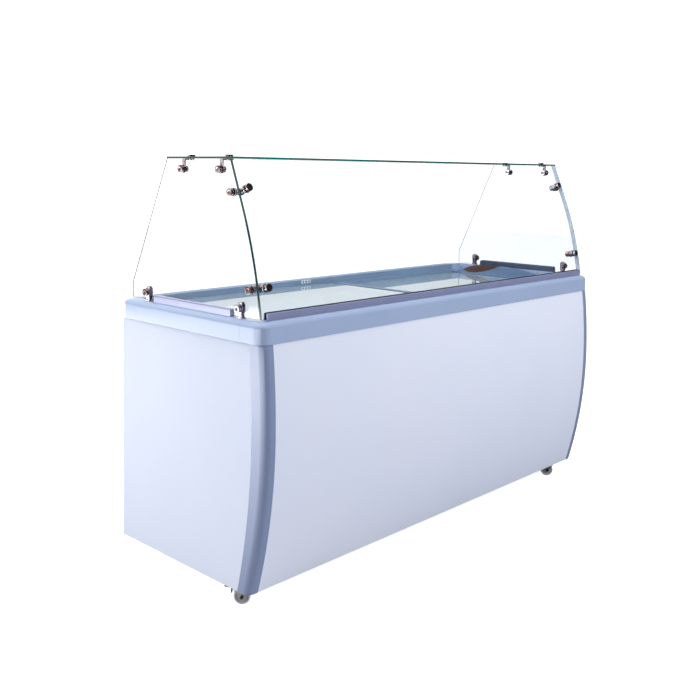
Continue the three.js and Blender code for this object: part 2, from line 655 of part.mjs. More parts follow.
function forkSolid(braked) {
  const crownBottom = SEAT_BOTTOM - 13;
  const crownTop = SEAT_BOTTOM - GAP;
  const sideY = FORK_GAP / 2 + FORK_SHEET / 2;
  const outline = [
    ...arc([-TRAIL, WHEEL_R], 8, Math.PI, 2 * Math.PI, 8),
    [17, crownBottom + 1], [BRAKE_PIN.x - 8, crownBottom + 1], [BRAKE_PIN.x - 8, BRAKE_PIN.z - 5],
  ];
  const nutY = sideY + 5;
  const pin = ({ x, z, r }) => bar(point(x, -sideY - 2, z), point(x, sideY + 2, z), r, r, 10);
  return join(
    ...(braked ? [pin(BRAKE_PIN)] : []),
    bar(point(0, 0, crownBottom), point(0, 0, crownBottom + FORK_SHEET), 19, 19, 20),
    bar(point(0, 0, crownBottom + 1), point(0, 0, crownTop), 16, 14, 20),
    plateAcross(outline, sideY, FORK_SHEET),
    plateAcross(outline, -sideY, FORK_SHEET),
    bar(point(-TRAIL, -nutY, WHEEL_R), point(-TRAIL, nutY, WHEEL_R), AXLE_R, AXLE_R, 12),
  );
}

function wheelSolid() {
  const bore = AXLE_R + AXLE_CLEARANCE;
  const half = WHEEL_WIDTH / 2;
  const profile = [
    [bore, -half], [10, -half], [11, -half + 3], [18, -half + 3], [19, -half + 1], [WHEEL_R, -half + 3],
    [WHEEL_R, half - 3], [19, half - 1], [18, half - 3], [11, half - 3], [10, half], [bore, half],
    [bore, -half],
  ];
  const geometry = new THREE.LatheGeometry(profile.map(([r, y]) => new THREE.Vector2(r, y)), 20);
  geometry.translate(-TRAIL, 0, WHEEL_R);
  return solidOf(geometry);
}

// Lever outline in [x, z]: root under the crown, pedal reaching back and up, shoe beside the tyre.
function leverSolid() {
  const { x, z, r } = BRAKE_PIN;
  const outline = [
    [x + 5, z - 4], [x + 5, z + 4.5], [x - 8, z + 5], [x - 34, z + 14], [x - 37, z + 10],
    [x - 17, z], [x - 16.5, z - 18], [x - 13.5, z - 18], [x - 10, z - 4],
  ];
  const bore = bar(point(x, -20, z), point(x, 20, z), r + AXLE_CLEARANCE, r + AXLE_CLEARANCE, 14);
  return plateAcross(outline, 0, LEVER_WIDTH).subtract(bore);
}

function buildCasters() {
  const wheel = wheelSolid();
  for (const caster of casters) {
    const fork = forkSolid(caster.name === 'front_left');
    add(`caster_fork_${caster.name}`, placeCaster(fork, caster), steel);
    add(`caster_wheel_${caster.name}`, placeCaster(wheel, caster), tyre);
  }
  add('brake_lever', placeCaster(leverSolid(), casters[0]), black);
}

// ---------------------------------------------------------------- machine room
function buildCompressor() {
  const floor = PAN_TOP + GAP;
  const profile = [[0, 14], [62, 14], [72, 30], [74, 60], [76, 62], [76, 70], [74, 72], [72, 120],
    [60, 152], [30, 166], [0, 168]];
  const can = new THREE.LatheGeometry(profile.map(([r, z]) => new THREE.Vector2(r, z)), 20);
  can.rotateX(Math.PI / 2);
  const { x, y, halfX, halfY } = COMPRESSOR;
  can.translate(x, y, floor);
  const plate = block(x - halfX, x + halfX, y - halfY, y + halfY, floor + 10, floor + 16);
  const feet = [[-1, -1], [1, -1], [-1, 1], [1, 1]].map(([right, back]) => {
    const foot = point(x + right * (halfX - 15), y + back * (halfY - 15), floor);
    return bar(foot, foot.clone().setZ(floor + 12), 10, 10, 14);
  });
  add('compressor', join(solidOf(can), plate, ...feet), black);
}

const fanCentre = point(FAN.x, FAN.y, FAN.z);

function buildCondenser() {
  const { x0, x1, y0, y1, height } = CONDENSER;
  const z0 = PAN_TOP + GAP;
  const z1 = z0 + height;
  const fins = Array.from({ length: 14 }, (_, i) => {
    const x = x0 + 10 + i * 14;
    return block(x, x + 9, y0 - 5, y0 + 20, z0 + 12, z1 - 12);
  });
  const coil = cut(block(x0, x1, y0, y1, z0, z1), ...fins);
  const hub = fanCentre;
  const alongY = (near, far, ...radii) => bar(point(hub.x, hub.y - far, hub.z),
    point(hub.x, hub.y - near, hub.z), ...radii);
  const motor = alongY(24, 60, 26);
  const arms = [-1, 1].map((side) => join(
    block(hub.x + side * (FAN.arm - 6), hub.x + side * (FAN.arm + 6), hub.y - 46, y0 + 2,
      hub.z - 5, hub.z + 5),
    block(hub.x, hub.x + side * (FAN.arm + 6), hub.y - 46, hub.y - 36, hub.z - 5, hub.z + 5),
  ));
  const shaft = alongY(9, 30, 3, 3, 12);
  add('condenser', join(coil, motor, shaft, ...arms), aluminium);
}

function buildFan() {
  const hub = bar(point(0, -8, 0), point(0, 8, 0), 16, 14);
  const blades = Array.from({ length: 5 }, (_, i) => {
    const blade = new THREE.BoxGeometry(36, 2.5, 62);
    blade.rotateZ(0.32);
    blade.translate(0, 0, 43);
    blade.rotateY(i * 2 * Math.PI / 5);
    return solidOf(blade);
  });
  add('fan_blade', join(hub, ...blades).translate([fanCentre.x, fanCentre.y, fanCentre.z]), black);
}

function buildServiceCover() {
  const y0 = BODY_REAR + GAP;
  const y1 = y0 + COVER.thick;
  const through = [y0 - 5, y1 + 5];
  const pitch = (COVER.z1 - COVER.z0 - 50) / (SLOT_COUNT - 1);
  const slots = Array.from({ length: SLOT_COUNT }, (_, i) => {
    const z = COVER.z0 + 25 + i * pitch;
    return block(655, COVER.x1 - 25, ...through, z - 3.5, z + 3.5);
  });
  const shaftHole = bar(point(CONTROL_X, through[0], KNOB_Z), point(CONTROL_X, through[1], KNOB_Z), 4.5);
  const glandHole = bar(point(CONTROL_X, through[0], GLAND_Z), point(CONTROL_X, through[1], GLAND_Z), 8);
  const switchHole = block(CONTROL_X - 8, CONTROL_X + 8, ...through, SWITCH_Z - 14, SWITCH_Z + 14);
  const plate = block(COVER.x0, COVER.x1, y0, y1, COVER.z0, COVER.z1);
  add('vent_grille', cut(plate, ...slots, shaftHole, glandHole, switchHole), pillarBlue);

  const face = y1 + GAP;
  const dial = bar(point(CONTROL_X, face, KNOB_Z), point(CONTROL_X, face + 4, KNOB_Z), 18, 17, 24);
  const ridge = block(CONTROL_X - 2.5, CONTROL_X + 2.5, face + 3, face + 5.5, KNOB_Z - 14, KNOB_Z + 16);
  const shaft = bar(point(CONTROL_X, y0 - 14, KNOB_Z), point(CONTROL_X, face + 1, KNOB_Z), 3.5, 3.5, 16);
  add('thermostat_knob', join(dial, ridge, shaft), black);

  const rocker = [[y0 - 8, -6], [y0 + 1, -12], [y1 + 1, -12], [y1 + 1.2, 0], [y1 + 3.6, 12], [y0 + 1, 12.5],
    [y0 - 8, 6]].map(([y, z]) => [y, z + SWITCH_Z]);
  add('power_switch', slabAlongX(rocker, CONTROL_X - 7.4, CONTROL_X + 7.4), black);

  const glandProfile = [[4, -12], [7, -12], [7, COVER.thick + GAP], [11, COVER.thick + GAP],
    [11, COVER.thick + 3], [8, COVER.thick + 5.4], [4, COVER.thick + 5.4], [4, -12]];
  const gland = new THREE.LatheGeometry(glandProfile.map(([r, y]) => new THREE.Vector2(r, y)), 20);
  gland.translate(CONTROL_X, y0, GLAND_Z);
  add('cord_gland', solidOf(gland), black);
}

// ---------------------------------------------------------------- assembly
buildPanels();
buildPillars();
buildTank();
buildInsulation();
buildPan();
buildFrame();
buildLid('left', -1, UPPER_LID_TOP, 2);
buildLid('right', 1, LOWER_LID_TOP, 1);
buildGlasses();
buildChannels();
for (const [name, side] of [['left', -1], ['right', 1]]) {
  buildCornerClamps(name, side);
  buildTopClamps(name, side);
  buildBaseClamps(name, side);
}
buildCasters();
buildCompressor();
buildCondenser();
buildFan();
buildServiceCover();

export default freezer;
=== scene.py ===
"""Looks for the glass-guard chest freezer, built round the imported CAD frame. Everything is in metres."""
import json
import math

import bmesh
import bpy
from mathutils import Matrix, Vector


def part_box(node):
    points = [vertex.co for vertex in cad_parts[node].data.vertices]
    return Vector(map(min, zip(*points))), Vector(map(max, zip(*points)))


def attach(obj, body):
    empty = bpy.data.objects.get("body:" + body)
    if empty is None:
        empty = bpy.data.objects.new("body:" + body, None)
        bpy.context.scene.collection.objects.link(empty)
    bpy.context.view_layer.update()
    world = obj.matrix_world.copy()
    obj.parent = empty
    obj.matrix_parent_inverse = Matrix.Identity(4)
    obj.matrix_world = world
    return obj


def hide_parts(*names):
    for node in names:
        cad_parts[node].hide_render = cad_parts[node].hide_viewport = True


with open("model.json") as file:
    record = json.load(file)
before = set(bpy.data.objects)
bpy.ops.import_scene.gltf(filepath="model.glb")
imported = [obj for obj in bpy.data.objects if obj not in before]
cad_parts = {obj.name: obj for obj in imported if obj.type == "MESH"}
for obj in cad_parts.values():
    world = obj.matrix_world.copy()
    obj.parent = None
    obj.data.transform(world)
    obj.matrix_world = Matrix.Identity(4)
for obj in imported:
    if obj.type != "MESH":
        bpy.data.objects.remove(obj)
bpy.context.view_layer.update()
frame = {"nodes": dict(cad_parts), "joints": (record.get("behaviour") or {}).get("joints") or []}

MM = 0.001
GAP = 0.3 * MM                       # clearance between pieces that touch
SPARE = 20 * MM                      # how far a cutting shape reaches past what it cuts
SHARP = math.radians(32)             # faces that meet at more than this keep a hard edge
SIDES = {"left": -1, "right": 1}
ENDS = ("front", "rear")


# ------------------------------------------------------------------ places taken from the frame
class Box:
    """The extent of one or more CAD nodes, from x0, y0, z0 to x1, y1, z1, and its middle x, y, z."""

    def __init__(self, *nodes):
        corners = [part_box(node) for node in nodes]
        self.x0, self.y0, self.z0 = (min(low[i] for low, _ in corners) for i in range(3))
        self.x1, self.y1, self.z1 = (max(high[i] for _, high in corners) for i in range(3))
        self.x = (self.x0 + self.x1) / 2
        self.y = (self.y0 + self.y1) / 2
        self.z = (self.z0 + self.z1) / 2


def joint_place(name):
    """Where a joint of the frame turns, or where it starts to slide."""
    return Vector(next(j["pos_m"] for j in frame["joints"] if j["name"] == name))


RAIL = Box("frame_front", "frame_rear", "frame_left", "frame_right")
MOUTH_X = Box("frame_right").x0
MOUTH_FRONT = Box("frame_front").y1
MOUTH_REAR = Box("frame_rear").y0
POCKET_X = RAIL.x1 - 38 * MM         # the lid pockets reach this far at the ends
TRACK_STEP = 12 * MM                 # width of each lid ledge
RAIL_CORNER_R = 36 * MM
RAIL_EDGE_R = 18 * MM

PANEL = Box("front_panel")
PILLAR = Box("corner_pillar_right")
END_PANEL = Box("side_panel_right")
BACK = Box("rear_panel")
BELLY_Z = 547 * MM                   # height where the front bulges most
PILLAR_WALL = 8 * MM
PILLAR_R = 25 * MM
PILLAR_PROUD = 2 * MM
PILLAR_DEPTH = 60 * MM               # depth of a pillar's side leg at the belly
FRONT_SHEET = 2 * MM
BACK_SCREW_Z = (300 * MM, 550 * MM)

GLASS = 6 * MM
HALF_GLASS = GLASS / 2
TOP_GLASS = Box("guard_top")
SIDE_GLASS = Box("guard_side_right")
GUARD_X = SIDE_GLASS.x1 - HALF_GLASS
BEND_TOP_Y, BEND_TOP_Z = -231.3 * MM, 1170 * MM   # where the front glass turns from curved to straight
BEND_R = 1300 * MM
LEAN = 0.372                         # lean of the straight upper part, in radians

PAD = 0.6 * MM                       # soft pads between clamp and glass
CLAMP_ARM = 27 * MM
KNOB_R = 12 * MM
KNOB_LENGTH = 10 * MM
BOSS_R = 13 * MM
STUD_R = 4 * MM
HOLE_R = 5 * MM
CHEEK_X = 6.6 * MM                   # from the glass to the middle of each half of a base clamp's cap

WHEEL_R = 25 * MM
TRAIL = 20 * MM                      # from the swivel axis to the axle

# ------------------------------------------------------------------ meshes
ALONG_X = Matrix(((0, 0, 1, 0), (1, 0, 0, 0), (0, 1, 0, 0), (0, 0, 0, 1)))   # [y, z] outlines along x
ALONG_Y = Matrix(((1, 0, 0, 0), (0, 0, 1, 0), (0, 1, 0, 0), (0, 0, 0, 1)))   # [x, z] outlines along y


class Shape:
    """Closed bodies collected into one mesh: vertices, faces and the look of each face."""

    def __init__(self):
        self.verts = []
        self.faces = []
        self.looks = []

    def add(self, body, look=0, place=None):
        verts, faces = body
        start = len(self.verts)
        self.verts += [place @ Vector(v) if place else Vector(v) for v in verts]
        self.faces += [[start + i for i in face] for face in faces]
        self.looks += [look] * len(faces)
        return self


def loft(sections):
    """Joins matching closed outlines of points into one closed body."""
    count = len(sections[0])
    verts = [p for section in sections for p in section]
    faces = [list(range(count))]
    for i in range(len(sections) - 1):
        for j in range(count):
            a, b = i * count + j, i * count + (j + 1) % count
            faces.append([a, b, b + count, a + count])
    last = (len(sections) - 1) * count
    faces.append(list(range(last, last + count)))
    return verts, faces


def prism(outline, low, high, steps=1):
    """An outline of [u, v] pairs, extruded from one level to another."""
    levels = [low + (high - low) * i / steps for i in range(steps + 1)]
    return loft([[(u, v, level) for u, v in outline] for level in levels])


def block(x0, x1, y0, y1, z0, z1):
    return prism([(x0, y0), (x1, y0), (x1, y1), (x0, y1)], z0, z1)


def revolve(profile, segments=40, closed=False):
    """Turns [radius, height] pairs round +Z. Without closed, the ends lie on the axis."""
    count = len(profile)
    verts = []
    for i in range(segments):
        angle = 2 * math.pi * i / segments
        verts += [(r * math.cos(angle), r * math.sin(angle), h) for r, h in profile]
    faces = []
    for i in range(segments):
        k = (i + 1) % segments
        for j in range(count if closed else count - 1):
            n = (j + 1) % count
            faces.append([i * count + j, k * count + j, k * count + n, i * count + n])
    return verts, faces


def turned(profile, segments=40, closed=False):
    """Revolves a profile that is given in millimetres."""
    return revolve([(r * MM, h * MM) for r, h in profile], segments, closed)


def rod(radius, length, segments=24, start=0.0):
    return revolve([(0, start), (radius, start), (radius, length), (0, length)], segments)


def arc(centre, radius, start, end, steps):
    """Points of an arc from one angle to another, in radians."""
    turns = [start + (end - start) * i / steps for i in range(steps + 1)]
    return [(centre[0] + radius * math.cos(t), centre[1] + radius * math.sin(t)) for t in turns]


def rounded_rectangle(x0, x1, y0, y1, radius, steps=8):
    quarter = math.pi / 2
    centres = [(x1 - radius, y1 - radius), (x0 + radius, y1 - radius),
               (x0 + radius, y0 + radius), (x1 - radius, y0 + radius)]
    return [p for i, c in enumerate(centres) for p in arc(c, radius, i * quarter, (i + 1) * quarter, steps)]


def fillet(outline, radius, steps=5):
    """Rounds every corner of a closed outline with a short curve."""
    rounded = []
    for i, point in enumerate(outline):
        corner = Vector(point)
        back = Vector(outline[i - 1]) - corner
        ahead = Vector(outline[(i + 1) % len(outline)]) - corner
        reach = min(radius, back.length * 0.45, ahead.length * 0.45)
        start, end = corner + back.normalized() * reach, corner + ahead.normalized() * reach
        for k in range(steps + 1):
            t = k / steps
            rounded.append(tuple((1 - t) ** 2 * start + 2 * t * (1 - t) * corner + t * t * end))
    return rounded


def aim(origin, direction):
    """A matrix that stands +Z at origin and points it along direction."""
    turn = Vector(direction).to_track_quat("Z", "Y").to_matrix().to_4x4()
    return Matrix.Translation(origin) @ turn


def raw_object(name, shape, looks=()):
    """A shape as an object, with its bodies' faces looking outwards."""
    mesh = bpy.data.meshes.new(name)
    mesh.from_pydata(shape.verts, [], shape.faces)
    for look in looks:
        mesh.materials.append(look)
    mesh.polygons.foreach_set("material_index", shape.looks)
    work = bmesh.new()
    work.from_mesh(mesh)
    bmesh.ops.remove_doubles(work, verts=work.verts, dist=1e-6)
    bmesh.ops.recalc_face_normals(work, faces=work.faces)
    work.to_mesh(mesh)
    work.free()
    made = bpy.data.objects.new(name, mesh)
    bpy.context.scene.collection.objects.link(made)
    return made


def apply_modifiers(made):
    """Turns an object's modified mesh into its own mesh."""
    graph = bpy.context.evaluated_depsgraph_get()
    mesh = bpy.data.meshes.new_from_object(made.evaluated_get(graph))
    made.modifiers.clear()
    made.data = mesh


def carve(made, operation, shape):
    """Cuts a shape away from an object, or keeps only what lies inside it."""
    tool = raw_object("tool", shape)
    modifier = made.modifiers.new("carve", "BOOLEAN")
    modifier.operation = operation
    modifier.solver = "EXACT"
    modifier.object = tool
    apply_modifiers(made)
    bpy.data.objects.remove(tool)


def soften(made, width, segments=2, angle=40):
    """Rounds the sharp edges, so that they catch the light."""
    modifier = made.modifiers.new("soften", "BEVEL")
    modifier.width = width
    modifier.segments = segments
    modifier.limit_method = "ANGLE"
    modifier.angle_limit = math.radians(angle)
    apply_modifiers(made)


def finish(made, body="cabinet", replaces=()):
    """Smooth shading whose flat faces stay flat up to their rounded edges, and the piece's body."""
    made.data.shade_smooth()
    made.data.set_sharp_from_angle(angle=SHARP)
    modifier = made.modifiers.new("flat_faces", "WEIGHTED_NORMAL")
    modifier.keep_sharp = True
    apply_modifiers(made)
    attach(made, body)
    if replaces:
        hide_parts(*replaces)
    return made


def piece(name, shape, looks, body="cabinet", replaces=(), less=None, within=None, edge=0.0,
          segments=2):
    """One finished piece: its shape, less or within other shapes, with rounded edges and smooth shading."""
    made = raw_object(name, shape, looks)
    if less:
        carve(made, "DIFFERENCE", less)
    if within:
        carve(made, "INTERSECT", within)
    if edge:
        soften(made, edge, segments)
    return finish(made, body, replaces)


# ------------------------------------------------------------------ materials
def linear(color):
    """A screen colour from 0 to 255 as the linear colour that shaders use."""
    shares = [c / 255 for c in color]
    return [s / 12.92 if s <= 0.04045 else ((s + 0.055) / 1.055) ** 2.4 for s in shares]


class Graph:
    """A node tree, with a short way to add each kind of node that is used often."""

    def __init__(self, tree):
        self.tree = tree

    def feed(self, socket, value):
        """Gives a socket a plain value, or links another node's output to it."""
        if isinstance(value, bpy.types.NodeSocket):
            self.tree.links.new(value, socket)
        else:
            socket.default_value = value

    def node(self, kind, **inputs):
        """Adds a node and feeds its inputs by name, with _ for the spaces in a name."""
        made = self.tree.nodes.new("ShaderNode" + kind)
        for name, value in inputs.items():
            self.feed(made.inputs[name.replace("_", " ")], value)
        return made

    def math(self, operation, first, second):
        made = self.node("Math")
        made.operation = operation
        self.feed(made.inputs[0], first)
        self.feed(made.inputs[1], second)
        return made.outputs[0]

    def product(self, first, second):
        return self.math("MULTIPLY", first, second)

    def dot(self, first, second):
        made = self.node("VectorMath")
        made.operation = "DOT_PRODUCT"
        self.feed(made.inputs[0], first)
        self.feed(made.inputs[1], second)
        return made.outputs["Value"]

    def ranged(self, value, low, high, to_low=0.0, to_high=1.0, smooth=False):
        made = self.node("MapRange", Value=value)
        if smooth:
            made.interpolation_type = "SMOOTHSTEP"
        for socket, number in zip(made.inputs[1:5], (low, high, to_low, to_high)):
            socket.default_value = number
        return made.outputs[0]

    def choose(self, share, first, second):
        """The first shader where share is 0, and the second where it is 1."""
        made = self.node("MixShader")
        for socket, value in zip(made.inputs, (share, first, second)):
            self.feed(socket, value)
        return made.outputs[0]


class Look(Graph):
    """A material built from nodes round one Principled shader."""

    def __init__(self, name, color, roughness, metallic=0.0, **sockets):
        self.material = bpy.data.materials.new(name)
        self.material.use_nodes = True
        super().__init__(self.material.node_tree)
        self.shader = self.tree.nodes["Principled BSDF"]
        self.color = None
        self.normal = None
        self.set("Base Color", (*linear(color), 1))
        self.set("Roughness", roughness)
        self.set("Metallic", metallic)
        for socket, value in sockets.items():
            self.set(socket.replace("_", " "), value)
        self.place = self.node("TexCoord").outputs["Object"]

    def set(self, socket, value):
        self.shader.inputs[socket].default_value = value

    def show(self, surface):
        """Makes another shader than the Principled one the material's surface."""
        self.feed(self.tree.nodes["Material Output"].inputs["Surface"], surface)

    def noise(self, scale, detail=3.0, stretch=(1, 1, 1)):
        """Noise with that many grains per metre, drawn out where stretch is small."""
        place = self.node("Mapping", Vector=self.place, Scale=stretch).outputs[0]
        return self.node("TexNoise", Vector=place, Scale=scale, Detail=detail).outputs[0]

    def cells(self, scale):
        return self.node("TexVoronoi", Vector=self.place, Scale=scale).outputs["Distance"]

    def along(self, axis, low, high):
        """0 to 1 between two places along an axis of the object."""
        return self.ranged(self.node("SeparateXYZ", Vector=self.place).outputs[axis], low, high)

    def facing(self, direction):
        """1 on faces that look along direction, and 0 on those that look sideways or away."""
        return self.ranged(self.dot(self.node("NewGeometry").outputs["Normal"], direction), 0.2, 0.9)

    def tint(self, share, color):
        """Mixes another colour into the base colour by a share."""
        made = self.node("Mix")
        made.data_type = "RGBA"
        base = self.shader.inputs["Base Color"]
        self.feed(made.inputs[0], share)
        self.feed(made.inputs[6], self.color or base.default_value)
        self.feed(made.inputs[7], (*linear(color), 1))
        self.color = made.outputs[2]
        self.feed(base, self.color)

    def polish(self, share, low, high):
        """Roughness from low to high by a share from 0 to 1."""
        self.feed(self.shader.inputs["Roughness"], self.ranged(share, 0, 1, low, high))

    def bump(self, height, strength, depth):
        made = self.node("Bump", Strength=strength, Distance=depth, Height=height)
        if self.normal:
            self.feed(made.inputs["Normal"], self.normal)
        self.normal = made.outputs[0]
        self.feed(self.shader.inputs["Normal"], self.normal)


def paint_look():
    """White powder coat with a faint orange peel, cloudier, and darker in blotches towards the floor."""
    look = Look("white_paint", (223, 229, 244), 0.42, Specular_IOR_Level=0.12)
    look.tint(look.ranged(look.noise(1.7), 0.35, 0.7), (219, 226, 243))
    # darker in blotches over the lowest 0.2 m of the panels
    foot_darkening = look.product(look.noise(7, 5), look.along("Z", PANEL.z0 + 0.2, PANEL.z0))
    look.tint(look.ranged(foot_darkening, 0.45, 0.9, 0, 0.35), (205, 203, 208))
    look.polish(look.noise(11, 4), 0.36, 0.48)
    look.bump(look.noise(260, 2), 0.10, 0.12 * MM)
    return look.material


def moulded_look(name, color, second, run, sheen=0.34, coat=1.0):
    """Satin plastic with flow streaks along run, a faint mottle and fine grain."""
    look = Look(name, color, sheen, Specular_IOR_Level=0.2, Coat_Weight=coat, Coat_Roughness=0.14)
    look.tint(look.ranged(look.noise(3.5), 0.35, 0.7), second)
    streaks = look.noise(150, 3, run)
    look.polish(streaks, sheen - 0.07, sheen + 0.07)
    look.bump(streaks, 0.05, 0.1 * MM)
    look.bump(look.noise(1400, 2), 0.06, 0.05 * MM)
    return look.material


def channel_look(name, run, color, second, metallic=0.6):
    """Coated aluminium with extrusion lines along the channel."""
    look = Look(name, color, 0.3, metallic, Coat_Weight=0.3, Coat_Roughness=0.12)
    lines = look.noise(420, 3, run)
    look.tint(look.ranged(lines, 0.4, 0.75), second)
    look.polish(lines, 0.22, 0.38)
    look.bump(lines, 0.10, 0.06 * MM)
    return look.material


def glass_look(name, tint, smear, clarity=1.0):
    """Clear glass that lets lamps through, with faint wiping marks that only change its tint."""
    look = Look(name, tint, 0.0, Transmission_Weight=clarity, IOR=1.5)
    look.tint(look.ranged(look.noise(5, 6, (1, 1, 3)), 0.5, 0.85), smear)
    clear = look.node("BsdfTransparent", Color=(*linear(tint), 1)).outputs[0]
    in_shadow = look.node("LightPath").outputs["Is Shadow Ray"]
    look.show(look.choose(in_shadow, look.shader.outputs[0], clear))
    return look.material


def glass_edge_look(name, deep, bright, painted_pale_ends=False):
    """The polished edge of float glass: deep green, with a painted highlight on the faces that look forward,
    stronger to the left.
    """
    look = Look(name, deep, 0.12, Coat_Weight=0.4, Coat_Roughness=0.04)
    # painted highlight: brighter on the edge faces that look forward, fading out towards the right
    share = look.product(look.facing((0, -1, 0)), look.along("X", 0.9, -0.9))
    look.tint(look.product(share, look.ranged(look.noise(2.2), 0.3, 0.7, 0.6, 1)), bright)
    if painted_pale_ends:
        # painted light: the edges at the right-hand end are painted pale blue-grey, and those towards the
        # rear grey
        look.tint(look.along("X", 0.80, 0.86), (170, 188, 206))
        look.tint(look.along("Y", 0.126, 0.134), (104, 104, 128))
    look.polish(look.noise(60, 4), 0.06, 0.2)
    look.bump(look.noise(900, 2), 0.08, 0.05 * MM)
    return look.material


def chrome_look():
    """Chrome plate with warm brown patches painted in as reflections."""
    look = Look("chrome_plate", (172, 174, 184), 0.08, 1.0)
    # painted reflection: warm brown patches mixed into the base colour
    look.tint(look.ranged(look.noise(90, 3), 0.5, 0.62), (150, 84, 74))
    look.polish(look.noise(500, 5), 0.03, 0.16)
    look.bump(look.noise(180, 2), 0.08, 0.06 * MM)
    return look.material


def zinc_look():
    """Bright zinc plate with a yellowish passivation and dull scuffs."""
    look = Look("zinc_plate", (190, 192, 190), 0.34, 1.0)
    look.tint(look.ranged(look.noise(70, 4), 0.42, 0.72), (172, 166, 138))
    look.polish(look.noise(240, 5), 0.24, 0.5)
    look.bump(look.noise(700, 4), 0.12, 0.06 * MM)
    return look.material


def liner_look():
    """White coated sheet with an embossed stucco pattern."""
    look = Look("stucco_liner", (233, 240, 240), 0.36, 0.1)
    look.tint(look.ranged(look.noise(4), 0.4, 0.75), (222, 232, 234))
    look.bump(look.cells(160), 0.35, 0.5 * MM)
    look.polish(look.noise(30, 4), 0.3, 0.46)
    return look.material


def foam_look():
    """Yellow rigid foam with open cells."""
    look = Look("rigid_foam", (226, 208, 160), 0.92)
    look.tint(look.ranged(look.noise(26, 5), 0.4, 0.7), (205, 180, 126))
    look.bump(look.cells(330), 0.6, 0.8 * MM)
    look.bump(look.noise(50, 4), 0.4, 1.5 * MM)
    return look.material


def grip_look():
    """Soft brown grip, pebbled, with worn lighter patches."""
    look = Look("brown_grip", (62, 42, 38), 0.5, Specular_IOR_Level=0.15)
    look.tint(look.ranged(look.noise(40, 4), 0.5, 0.75), (84, 48, 42))
    look.polish(look.noise(70, 3), 0.42, 0.6)
    look.bump(look.cells(900), 0.4, 0.25 * MM)
    return look.material


def tyre_look():
    """Pale grey tyre rubber, a little dirty."""
    look = Look("caster_tyre_grey", (236, 237, 242), 0.42, Subsurface_Weight=0.05)
    look.tint(look.ranged(look.noise(120, 4), 0.45, 0.75), (214, 215, 220))
    look.polish(look.noise(200, 4), 0.34, 0.56)
    look.bump(look.noise(500, 3), 0.15, 0.12 * MM)
    return look.material


def plain_look(name, roughness, grain, color=(26, 27, 30)):
    """Rubber, enamel or plain plastic, black unless a colour is given, with a faint mottle and fine grain."""
    look = Look(name, color, roughness)
    look.tint(look.ranged(look.noise(60, 3), 0.4, 0.75), tuple(c + 14 for c in color))
    look.polish(look.noise(140, 4), roughness - 0.1, roughness + 0.1)
    look.bump(look.noise(grain, 3), 0.25, 0.12 * MM)
    return look.material


def aluminium_look():
    """Bare aluminium fins, streaked upwards."""
    look = Look("mill_aluminium", (178, 181, 184), 0.4, 1.0)
    look.tint(look.ranged(look.noise(50, 4), 0.4, 0.7), (150, 152, 156))
    look.polish(look.noise(300, 4, (1, 1, 0.05)), 0.3, 0.55)
    look.bump(look.noise(800, 3, (1, 1, 0.05)), 0.15, 0.05 * MM)
    return look.material


def brass_look():
    """Warm brass screws with worn heads."""
    look = Look("brass_screw", (196, 150, 108), 0.25, 1.0)
    look.tint(look.noise(400, 3), (150, 104, 70))
    look.polish(look.noise(700, 3), 0.18, 0.4)
    return look.material


def plate_look():
    """White plastic for the plain plate, the dial's pointer and its ticks."""
    look = Look("white_plate", (236, 240, 246), 0.4)
    look.tint(look.ranged(look.noise(120), 0.4, 0.8), (222, 228, 238))
    look.bump(look.noise(900, 2), 0.1, 0.04 * MM)
    return look.material


# how each look's streaks are drawn out: small along the streak
ALONG_RAIL_X = (0.02, 1, 1)
ALONG_RAIL_Y = (1, 0.02, 1)
UPRIGHT = (1, 1, 0.02)
PAINT = paint_look()
RAIL_BLUE = (161, 179, 211)
RAIL_MOTTLE = (157, 175, 208)
RAIL_END = moulded_look("rail_plastic_end", RAIL_BLUE, RAIL_MOTTLE, ALONG_RAIL_Y)
RAIL_CORNER = moulded_look("rail_plastic_corner", RAIL_BLUE, RAIL_MOTTLE, (0.5, 0.5, 0.5))
RAIL_LOOKS = {
    "frame_front": moulded_look("rail_plastic_long", RAIL_BLUE, RAIL_MOTTLE, ALONG_RAIL_X),
    # painted shade: the rear rail is the same plastic, coloured a deeper blue for the shade inside the guard
    "frame_rear": moulded_look("rail_plastic_rear", (120, 142, 170), (116, 138, 167), ALONG_RAIL_X, 0.4, 0.0),
    "frame_left": RAIL_END,
    "frame_right": RAIL_END,
}
PILLAR_LOOK = moulded_look("pillar_plastic_blue", (133, 147, 181), (128, 142, 177), UPRIGHT)
# painted shade: the handles and lid trims are coloured a darker blue for the shade inside the guard
HANDLE_LOOK = moulded_look("handle_plastic_blue", (82, 106, 138), (77, 101, 133), ALONG_RAIL_Y, 0.36, 0.0)
COVER_LOOK = moulded_look("cover_plastic_blue", (150, 163, 196), (144, 155, 191), ALONG_RAIL_X, 0.45)
# one coat in three copies, each coloured for how light falls on its side: the right-hand one is painted
# shade, slate blue
CHANNEL_LOOKS = {
    "front": channel_look("channel_coat_front", ALONG_RAIL_X, (182, 190, 234), (168, 176, 222)),
    "left": channel_look("channel_coat_left", ALONG_RAIL_Y, (145, 150, 178), (139, 144, 172)),
    "right": channel_look("channel_coat_right", ALONG_RAIL_Y, (58, 72, 98), (54, 68, 94), 0.2),
}
GUARD_GLASS = glass_look("guard_float_glass", (252, 254, 254), (249, 253, 252))
LID_GLASS = glass_look("lid_coated_glass", (198, 213, 224), (193, 209, 221), 0.8)
GUARD_EDGE = glass_edge_look("guard_polished_edge", (3, 36, 38), (14, 88, 90), painted_pale_ends=True)
TOP_EDGE = glass_edge_look("top_polished_edge", (2, 52, 46), (16, 118, 112))
LID_EDGE = glass_edge_look("lid_polished_edge", (60, 120, 116), (120, 176, 172))
CHROME = chrome_look()
ZINC = zinc_look()
LINER = liner_look()
FOAM = foam_look()
GRIP = grip_look()
